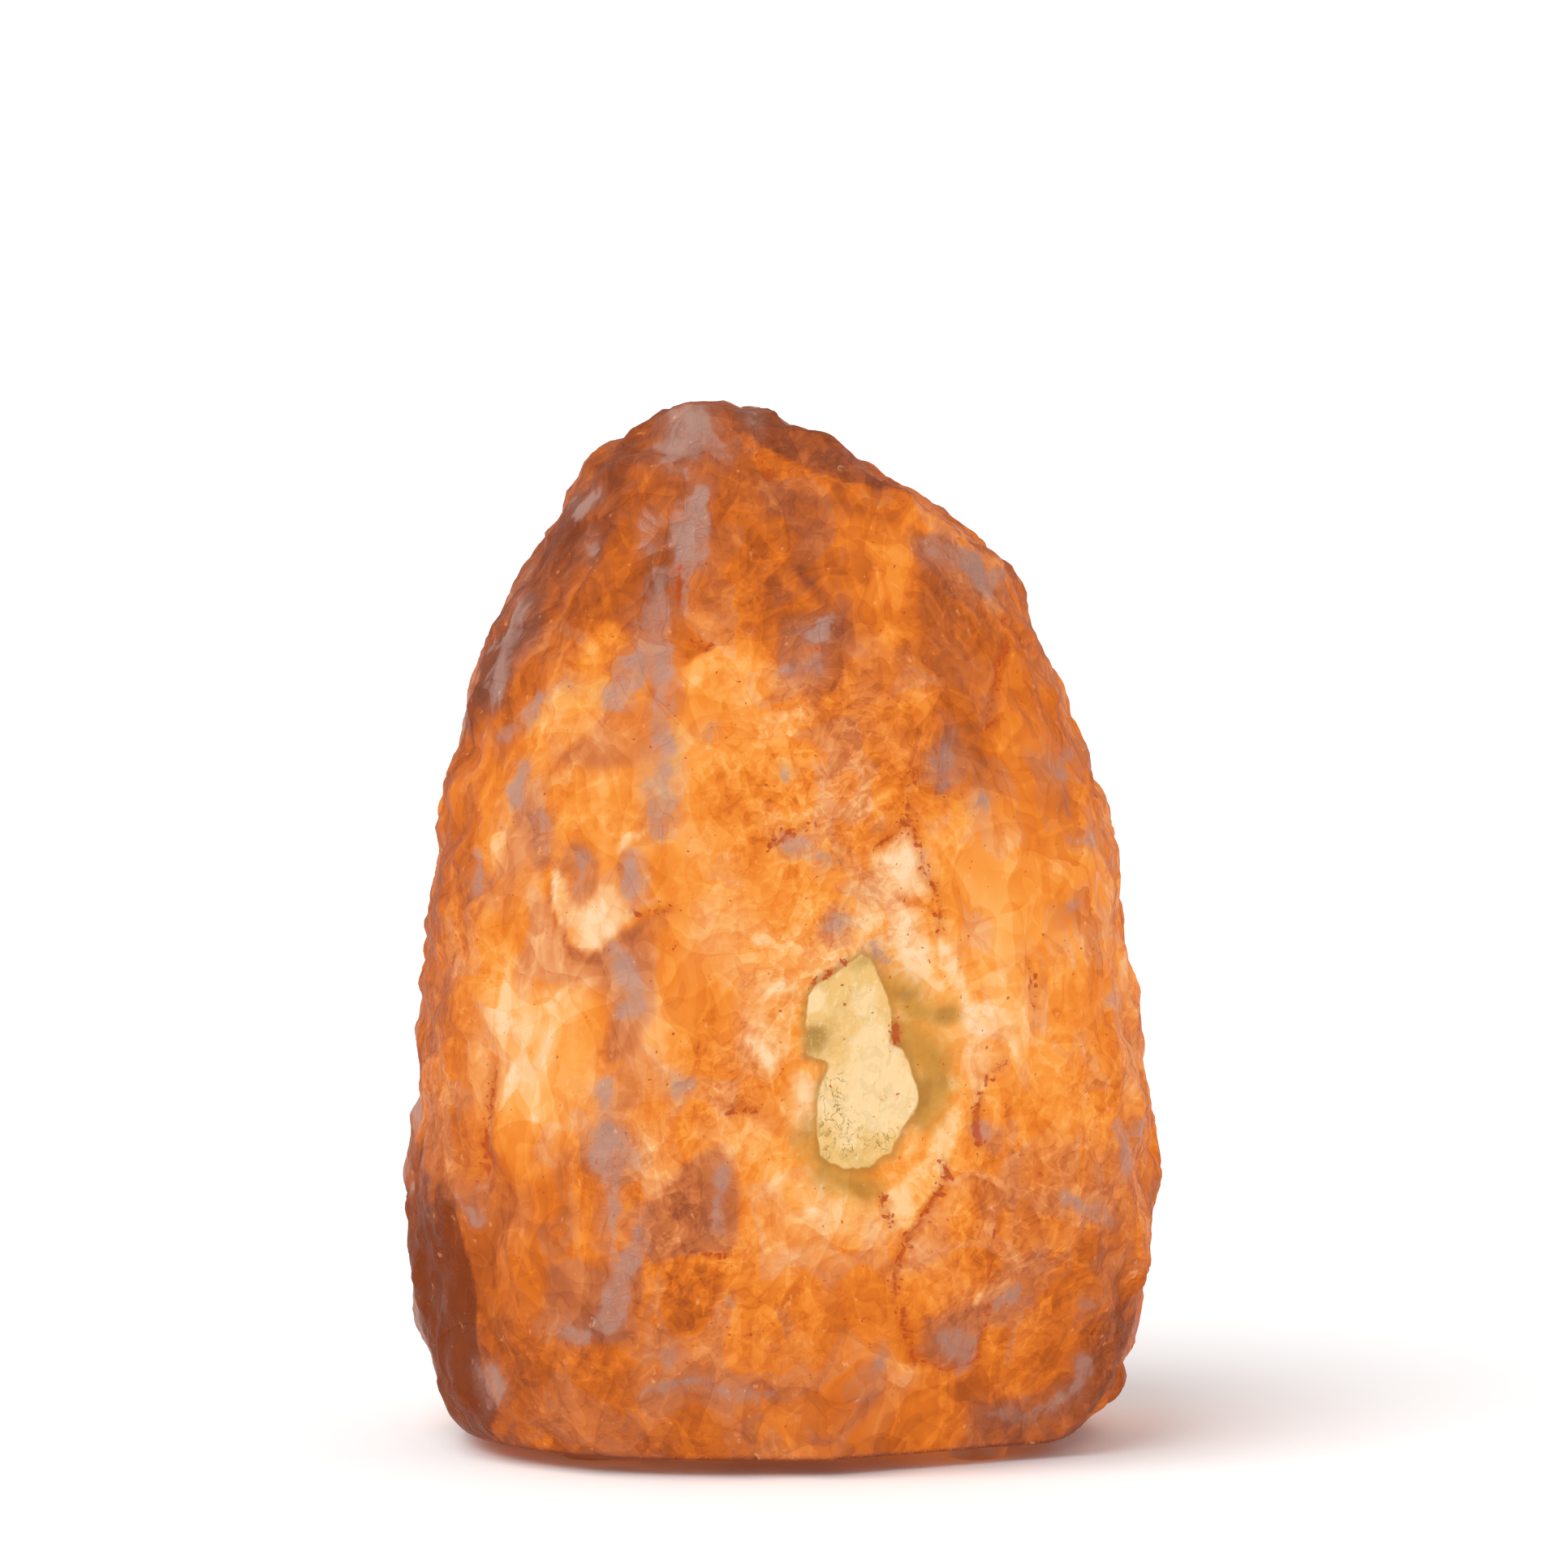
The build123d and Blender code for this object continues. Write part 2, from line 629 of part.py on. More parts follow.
# ---- all pieces --------------------------------------------------------------------------------
parts = {
    "salt_crystal": make_crystal(),
    "cord_grip": make_cord_grip(),
    "grip_screw": make_grip_screw(),
    "lock_washer": make_lock_washer(),
    "spring_clip": make_spring_clip(),
    "holder_cap": make_holder_cap(),
    "holder_shell": make_holder_shell(),
    "contact_block": make_contact_block(),
    "thread_sleeve": make_thread_sleeve(),
    "centre_contact": make_centre_contact(),
    "contact_rivets": Compound(
        [
            make_rivet(live_rivet_x, boss_top + leaf_thickness),
            make_rivet(neutral_rivet_x, boss_top + thread_sheet),
        ]
    ),
    "live_terminal": make_terminal(-1),
    "neutral_terminal": make_terminal(1),
    "terminal_screws": Compound([make_terminal_screw(-1), make_terminal_screw(1)]),
    "bulb_contact": make_bulb_contact(),
    "bulb_insulator": make_bulb_insulator(),
    "bulb_cap": make_bulb_cap(),
    "bulb_globe": make_bulb_globe(),
    "bulb_stem": make_bulb_stem(),
    "bulb_leads": Compound([make_lead(-1), make_lead(1)]),
    "filament": make_filament(),
    "filament_support": make_filament_support(),
}
for side_x, column in ((-1, "left"), (1, "right")):
    for side_y, line in ((-1, "front"), (1, "rear")):
        parts[f"foot_{line}_{column}"] = make_foot(side_x * foot_reach_x, side_y * foot_reach_y)

for name, shape in parts.items():
    export_step(shape, f"parts/{name}.step")

print("bulb top", round(bulb_top, 2), "bore top", underside + bore_depth, "filament", round(filament_level, 2))
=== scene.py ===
import math

import bmesh
import bpy
import numpy as np
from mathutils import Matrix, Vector


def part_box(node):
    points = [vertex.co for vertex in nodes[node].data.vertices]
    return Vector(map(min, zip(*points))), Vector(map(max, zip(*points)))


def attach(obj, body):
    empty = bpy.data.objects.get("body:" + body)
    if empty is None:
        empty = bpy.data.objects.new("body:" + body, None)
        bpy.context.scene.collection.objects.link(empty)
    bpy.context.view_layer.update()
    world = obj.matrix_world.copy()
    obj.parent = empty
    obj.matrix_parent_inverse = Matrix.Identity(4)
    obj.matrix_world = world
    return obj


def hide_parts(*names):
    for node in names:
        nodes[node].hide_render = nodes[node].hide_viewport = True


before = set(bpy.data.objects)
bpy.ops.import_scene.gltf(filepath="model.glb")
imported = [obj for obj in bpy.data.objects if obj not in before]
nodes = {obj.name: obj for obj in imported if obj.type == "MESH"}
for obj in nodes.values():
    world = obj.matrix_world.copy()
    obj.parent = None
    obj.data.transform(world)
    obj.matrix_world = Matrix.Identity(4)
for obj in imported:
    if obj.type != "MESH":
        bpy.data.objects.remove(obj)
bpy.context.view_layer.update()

mm = 0.001

# the photograph was taken from a little above, a long way off
viewSettings = {
    "distance": 2.0,  # m
    "elevation": 5.5,  # degrees
    "aimHeight": 0.125,
    "aimAcross": 0.0,
    "frameWidth": 0.2966,  # what the picture spans at the lamp
    "sensor": 36.0,
}
viewTilt = math.radians(viewSettings["elevation"])


class NodeNet:
    # wires one node tree: each step adds a node and gives back its output
    def __init__(self, tree):
        self.tree = tree

    def feed(self, socket, value):
        # a socket takes another node's output or a plain number, colour or vector
        if isinstance(value, bpy.types.NodeSocket):
            self.tree.links.new(value, socket)
        elif value is not None:
            socket.default_value = value

    def feedAll(self, node, inputs):
        # inputs go by name or by number
        for key, value in dict(inputs).items():
            self.feed(node.inputs[key], value)

    def add(self, kind, inputs=(), **settings):
        node = self.tree.nodes.new(kind)
        for name, value in settings.items():
            setattr(node, name, value)
        self.feedAll(node, inputs)
        return node

    def calc(self, operation, a, b=None, c=None, clamp=False):
        inputs = enumerate((a, b, c))
        return self.add("ShaderNodeMath", inputs, operation=operation, use_clamp=clamp).outputs[0]

    def plus(self, a, b):
        return self.calc("ADD", a, b)

    def minus(self, a, b):
        return self.calc("SUBTRACT", a, b)

    def times(self, a, b):
        return self.calc("MULTIPLY", a, b)

    def gain(self, value, strength, onto, clamp=False):
        # value times strength, added onto the third
        return self.calc("MULTIPLY_ADD", value, strength, onto, clamp)

    def size(self, value):
        return self.calc("ABSOLUTE", value)

    def weighted(self, parts, weights, onto, limits):
        # adds up the named parts, each times its weight and, where it has one, its limit
        for name, weight in weights.items():
            part = parts[name]
            if name in limits:
                part = self.times(part, limits[name])
            onto = self.gain(part, weight, onto)
        return onto

    def vector(self, operation, a, b):
        node = self.add("ShaderNodeVectorMath", {0: a, 1: b}, operation=operation)
        return node.outputs["Value" if operation == "DOT_PRODUCT" else 0]

    def scaled(self, vector, scale):
        return self.add("ShaderNodeVectorMath", {0: vector, "Scale": scale}, operation="SCALE").outputs[0]

    def stretched(self, place, stretch):
        return self.vector("MULTIPLY", place, tuple(1.0 / s for s in stretch))

    def remap(self, value, fromLow, fromHigh, toLow=0.0, toHigh=1.0, kind="SMOOTHSTEP"):
        inputs = enumerate((value, fromLow, fromHigh, toLow, toHigh))
        return self.add("ShaderNodeMapRange", inputs, interpolation_type=kind).outputs[0]

    def mix(self, share, first, second):
        return self.add("ShaderNodeMix", {0: share, 6: first, 7: second}, data_type="RGBA").outputs[2]

    def ramp(self, value, stops):
        node = self.add("ShaderNodeValToRGB", {0: value})
        while len(node.color_ramp.elements) < len(stops):
            node.color_ramp.elements.new(1.0)
        for element, (place, colour) in zip(node.color_ramp.elements, stops):
            element.position = place
            element.color = (*colour, 1.0)
        return node.outputs[0]

    def noiseNode(self, place, size, detail=3.0, roughness=0.55, distortion=0.0):
        # size is the width of one swelling, in the unit of place
        inputs = {"Vector": place, "Scale": 1.0 / size, "Detail": detail, "Roughness": roughness,
                  "Distortion": distortion}
        return self.add("ShaderNodeTexNoise", inputs, normalize=True)

    def noise(self, place, size, **settings):
        return self.noiseNode(place, size, **settings).outputs[0]

    def swing(self, place, size, **settings):
        # the same noise, about zero
        return self.minus(self.noise(place, size, **settings), 0.5)

    def flakeCells(self, place, size, stretch, warp, shift):
        # ragged flakes: warped cells, each with its own random level and its own tilt
        middle = (0.5, 0.5, 0.5)
        levelShares = (0.6, 0.4, 0.0)  # of the cell's random colour
        moved = self.vector("ADD", self.stretched(place, stretch), (shift, shift, shift))
        ragged = self.noiseNode(moved, size * 0.8, detail=2.0, roughness=0.45).outputs[1]
        push = self.scaled(self.vector("SUBTRACT", ragged, middle), warp * size)
        inCells = self.scaled(self.vector("ADD", moved, push), 1.0 / size)
        cells = self.add("ShaderNodeTexVoronoi", {"Vector": inCells, "Scale": 1.0}, feature="F1").outputs
        fromCentre = self.vector("SUBTRACT", inCells, cells["Position"])
        tilt = self.vector("DOT_PRODUCT", fromCentre, self.vector("SUBTRACT", cells["Color"], middle))
        return tilt, self.minus(self.vector("DOT_PRODUCT", cells["Color"], levelShares), 0.5)

    def flakeRim(self, place, size, limit, shift, fade):
        # ragged patches: strongest along their torn edge, fading towards their middle
        moved = self.vector("ADD", place, (shift, -shift, shift))
        swell = self.noise(moved, size, detail=1.8, roughness=0.42, distortion=0.7)
        inside = self.remap(swell, limit, limit + 0.014)
        return self.times(inside, self.remap(swell, limit + 0.02, limit + fade, 1.0, 0.15))

    def scales(self, place, way, pitch, size, wander, detail=2.0):
        # flakes that overlap like torn shingles: each brightens towards its edge, then drops
        edge = 0.12
        drift = self.noise(place, size, detail=detail, roughness=0.45)
        along = self.vector("DOT_PRODUCT", place, tuple(w / pitch for w in way))
        part = self.calc("FRACT", self.gain(drift, wander, along))
        rise = self.calc("DIVIDE", part, 1.0 - edge)
        fall = self.calc("DIVIDE", self.minus(1.0, part), edge)
        return self.minus(self.calc("MINIMUM", rise, fall), 0.5)

    def emboss(self, place, size, shift, detail, roughness):
        # relief as light that comes through shows it: lighter on one flank, darker on the other
        here = self.noise(place, size, detail=detail, roughness=roughness)
        moved = self.vector("ADD", place, shift)
        return self.minus(here, self.noise(moved, size, detail=detail, roughness=roughness))

    def creased(self, place, size, shift):
        # the same for a surface folded into sharp small creases
        spots = (place, self.vector("ADD", place, shift))
        return self.minus(*(self.size(self.swing(spot, size, detail=2.5, roughness=0.5)) for spot in spots))


def openGroup(name, kind, inputs, outputs):
    # a node group with named sockets: gives its net, its inputs and what it puts out
    tree = bpy.data.node_groups.new(name, kind)
    for way, sockets in (("INPUT", inputs), ("OUTPUT", outputs)):
        for label, socketKind in sockets.items():
            tree.interface.new_socket(label, in_out=way, socket_type=socketKind)
    net = NodeNet(tree)
    return net, net.add("NodeGroupInput").outputs, net.add("NodeGroupOutput").inputs


def openGeometry(name, inputs):
    return openGroup(name, "GeometryNodeTree", inputs, {"Geometry": "NodeSocketGeometry"})


def closeGeometry(net, geometry, material, result):
    whole = net.add("GeometryNodeRealizeInstances", {0: geometry})
    finish = net.add("GeometryNodeSetMaterial", {"Geometry": whole.outputs[0], "Material": material})
    net.feed(result[0], finish.outputs[0])
    return net.tree


def applyTree(piece, tree, values):
    # runs a Geometry Nodes tree on a piece and keeps the result as a plain mesh
    modifier = piece.modifiers.new("nodes", "NODES")
    modifier.node_group = tree
    for item in tree.interface.items_tree:
        if item.in_out == "INPUT" and item.name in values:
            modifier[item.identifier] = values[item.name]
    keepModified(piece)


def keepModified(piece):
    view = bpy.context.evaluated_depsgraph_get()
    made = bpy.data.meshes.new_from_object(piece.evaluated_get(view), depsgraph=view)
    piece.modifiers.clear()
    piece.data = made


def addObject(name, data):
    piece = bpy.data.objects.new(name, data)
    bpy.context.scene.collection.objects.link(piece)
    return piece


def newMaterial(name):
    material = bpy.data.materials.new(name)
    material.use_nodes = True
    shader = next(n for n in material.node_tree.nodes if n.type == "BSDF_PRINCIPLED")
    return material, NodeNet(material.node_tree), shader


# numbers for the rock's surface, in millimetres
def latticeNoise(points, size, seed):
    # smooth random values from -1 to 1, one swelling about size across
    at = points / size
    low = np.floor(at).astype(np.int64)
    part = at - low
    part = part * part * (3 - 2 * part)
    total = np.zeros(len(points))
    for corner in np.ndindex(2, 2, 2):
        cell = (low + corner).astype(np.uint64)
        mixed = cell[:, 0] * np.uint64(73856093) ^ cell[:, 1] * np.uint64(19349663)
        mixed ^= cell[:, 2] * np.uint64(83492791) ^ np.uint64(seed * 2654435761)
        mixed = (mixed ^ (mixed >> np.uint64(13))) * np.uint64(0x5BD1E995)
        value = ((mixed ^ (mixed >> np.uint64(15))) & np.uint64(0xFFFF)).astype(float) / 32767.5 - 1
        weight = np.prod(np.where(np.array(corner) == 1, part, 1 - part), axis=1)
        total += weight * value
    return total


def fractalNoise(points, size, seed, octaves=3):
    total, strength = np.zeros(len(points)), 1.0
    for k in range(octaves):
        total += strength * latticeNoise(points, size / 2**k, seed + k)
        strength *= 0.5
    return total


def softStep(value, low, high):
    part = np.clip((value - low) / (high - low), 0, 1)
    return part * part * (3 - 2 * part)


def bell(value):
    return np.exp(-0.5 * value)


def alongRun(seen, a, b):
    # how far along the run from a to b each point lies, and its distance to the run
    run = b - a
    along = np.clip((seen - a) @ run / max(run @ run, 1e-9), 0, 1)
    return along, np.linalg.norm(seen - a - along[:, None] * run, axis=1)


def strokeField(seen, strokes):
    # how deep each point lies inside the nearest stroke: positive inside, negative outside
    deepest = np.full(len(seen), -999.0)
    for stroke in strokes:
        for start, end in zip(stroke, stroke[1:] if len(stroke) > 1 else stroke):
            along, away = alongRun(seen, np.array(start[:2]), np.array(end[:2]))
            deepest = np.maximum(deepest, start[2] + (end[2] - start[2]) * along - away)
    return deepest


def outlineField(seen, outline):
    # signed distance to a closed outline: positive inside
    corners = np.array(outline, float)
    nearest = np.full(len(seen), 1e9)
    inside = np.zeros(len(seen), bool)
    for a, b in zip(corners, np.roll(corners, -1, axis=0)):
        nearest = np.minimum(nearest, alongRun(seen, a, b)[1])
        crosses = (a[1] > seen[:, 1]) != (b[1] > seen[:, 1])
        rise = b[1] - a[1]
        cut = a[0] + (seen[:, 1] - a[1]) * (b[0] - a[0]) / (rise if rise else 1e-9)
        inside ^= crosses & (seen[:, 0] < cut)
    return np.where(inside, nearest, -nearest)


rockSettings = {
    "voxel": 1.19,  # width of the finest facet
    "bulbHeight": 82.0,  # where the light comes from
    "boreRadius": 24.0,
    "boreTop": 127.0,
    "glow": 0.69,  # brightness of the salt this far from the bulb, and what each mm more takes off
    "glowReach": 58,
    "glowLoss": 0.0056,
    "undersideShade": 0.30,
    "underside": (0.6, 0.95),  # how far a face has to look down to be in that shade
    "haze": 0.15,
    "rough": 0.55,
    "fibre": 0.35,
    "lightSwing": 0.10,  # how far chance moves each of these four
    "hazeSwing": 0.30,
    "roughSwing": 0.5,
    "fibreSwing": 0.6,
    "wildMilk": 0.42,  # more of it leaves less milky salt at the back
    "wildMilkWidth": 11,
    "frontEdge": (0.02, 0.22),  # how far a face has to turn to the picture to belong to the front
    "baseEdge": (3.5, 9.0),  # the relief grows to its full depth between these heights
    "raggedBy": 9,  # pixels by which chance moves the edges of the milk, the cracks and the window
    "calmerBy": 3.5,
    "windowBy": 3,
    "leftSide": (-72, 30, 18, 40),  # an oval: way round and its reach in degrees, height and its reach
    "crackDepth": 0.8,
    "windowDepth": 1.2,
    "sink": 0.25,  # of the whole skin, so that its flakes keep to the block's size
}
# how far the Geometry Nodes tree pushes the skin
reliefDepths = {
    "Flake Step": 0.5,
    "Chip Step": 0.35,
    "Wave Depth": 7.0,
    "Grain Depth": 0.5,
    "Knob Depth": 6.0,
}
# cells of the broken skin: width, stretch, warp and shift
bigFlakes = (24.0, (1, 1, 1.5), 0.55, 0.0)
reliefChips = (8.0, (1, 1, 1.3), 0.6, 31.0)

# What the front shows is placed in the photograph's own pixels, on the plane that faces it.
pictureScale = {"centre": 965.5, "ground": 1795.3, "perPixel": 0.150}

# opaque milky salt: strokes of (across, down, half width)
milkStrokes = {
    "tipCap": [(838, 540, 24), (868, 528, 20), (885, 545, 14)],
    "underCap": [(838, 578, 8)],
    "upperVein": [(856, 600, 12), (850, 640, 22), (846, 680, 21), (842, 700, 12)],
    "upperVeinSide": [(803, 640, 6), (798, 676, 10)],
    "veinNeck": [(834, 700, 10), (812, 716, 14), (803, 755, 17), (800, 786, 14)],
    "veinBelly": [(800, 790, 18), (775, 825, 22), (755, 850, 18)],
    "veinTail": [(808, 800, 15), (808, 870, 13), (816, 930, 13), (816, 985, 10), (806, 1035, 8)],
    "hairVein": [(842, 706, 4), (848, 752, 4)],
    "middlePatch": [(978, 775, 7), (1010, 785, 12), (1020, 760, 7)],
    "middlePatchFoot": [(965, 812, 6), (1000, 822, 8)],
    "smallDark": [(868, 898, 7), (872, 890, 5)],
    "speck1": [(969, 952, 5)],
    "leftShoulder": [(695, 612, 12), (722, 604, 9)],
    "leftShoulderStreak": [(723, 650, 5), (718, 672, 5)],
    "leftEdgePatch": [(640, 738, 5), (622, 780, 9), (612, 815, 6), (608, 862, 4)],
    "leftDiagonal": [(655, 868, 6), (636, 888, 8), (622, 902, 4)],
    "leftSmall": [(699, 846, 6)],
    "cheekPatch": [(650, 945, 12), (644, 985, 9)],
    "rightLilac": [(1172, 905, 4), (1160, 935, 8), (1168, 955, 7)],
    "rightLilacTail": [(1211, 984, 6)],
    "flakeArcPatch": [(968, 1042, 10), (985, 1036, 12), (1012, 1060, 10)],
    "lowerArcPatch": [(1045, 1130, 4), (1020, 1142, 6)],
    "speck2": [(1058, 1104, 5)],
    "rightEdge1": [(1317, 935, 8), (1322, 960, 5)],
    "rightEdge2": [(1345, 1036, 7)],
    "rightEdge3": [(1330, 1118, 9)],
    "rightEdge4": [(1374, 1238, 6)],
    "leftSliver": [(584, 1050, 3), (585, 1085, 6), (588, 1105, 3)],
    "leftOfVee": [(668, 1010, 5), (672, 1050, 4)],
    "inVeeLeft": [(712, 1060, 6), (714, 1092, 7)],
    "inVeeRight": [(782, 1064, 7), (786, 1100, 7)],
    "underVee": [(762, 1180, 9), (776, 1222, 12), (764, 1250, 8)],
    "midVein": [
        (752, 1330, 3), (754, 1375, 6), (755, 1400, 18), (752, 1425, 26), (750, 1470, 5), (748, 1530, 5)],
    "midVeinFoot": [(790, 1500, 6), (786, 1536, 10), (757, 1562, 16), (756, 1605, 20), (750, 1628, 12)],
    "midPatch": [(888, 1440, 2), (886, 1470, 5), (884, 1512, 5)],
    "midSmall": [(838, 1335, 8), (832, 1345, 5)],
    "lowSmall1": [(907, 1600, 7)],
    "lowSmall2": [(815, 1665, 7), (826, 1682, 7)],
    "lowLeftEdge": [(578, 1475, 7), (586, 1505, 5)],
    "lowLeftCorner": [(590, 1695, 8), (606, 1728, 9)],
    "lowHaze": [(690, 1640, 10), (720, 1650, 10)],
    "lowDots": [(805, 1715, 8), (930, 1716, 5), (948, 1722, 6)],
    "lowRight1": [(1082, 1680, 7), (1070, 1712, 6)],
    "cornerRight": [(1345, 1683, 6), (1330, 1720, 7), (1290, 1745, 6), (1250, 1752, 6), (1210, 1745, 4)],
    "rightWhite1": [(1318, 1484, 7), (1340, 1497, 9), (1368, 1510, 8)],
    "rightWhite2": [(1391, 1400, 7), (1393, 1440, 6)],
    "rightWhite3": [(1285, 1560, 8)],
    "rightCrackle": [(1228, 1610, 8), (1255, 1598, 8)],
    "rightLow": [(1345, 1615, 7)],
    "crownRight": [(1155, 672, 8), (1200, 690, 18), (1225, 715, 12)],
    "ridgeBack": [(925, 513, 4), (930, 518, 3)],
    "crackShade": [(1213, 1392, 12)],
    "tongueFoot": [(1175, 1660, 20), (1190, 1680, 12)],
    "windowTop": [(1080, 1165, 4), (1093, 1188, 3)],
}
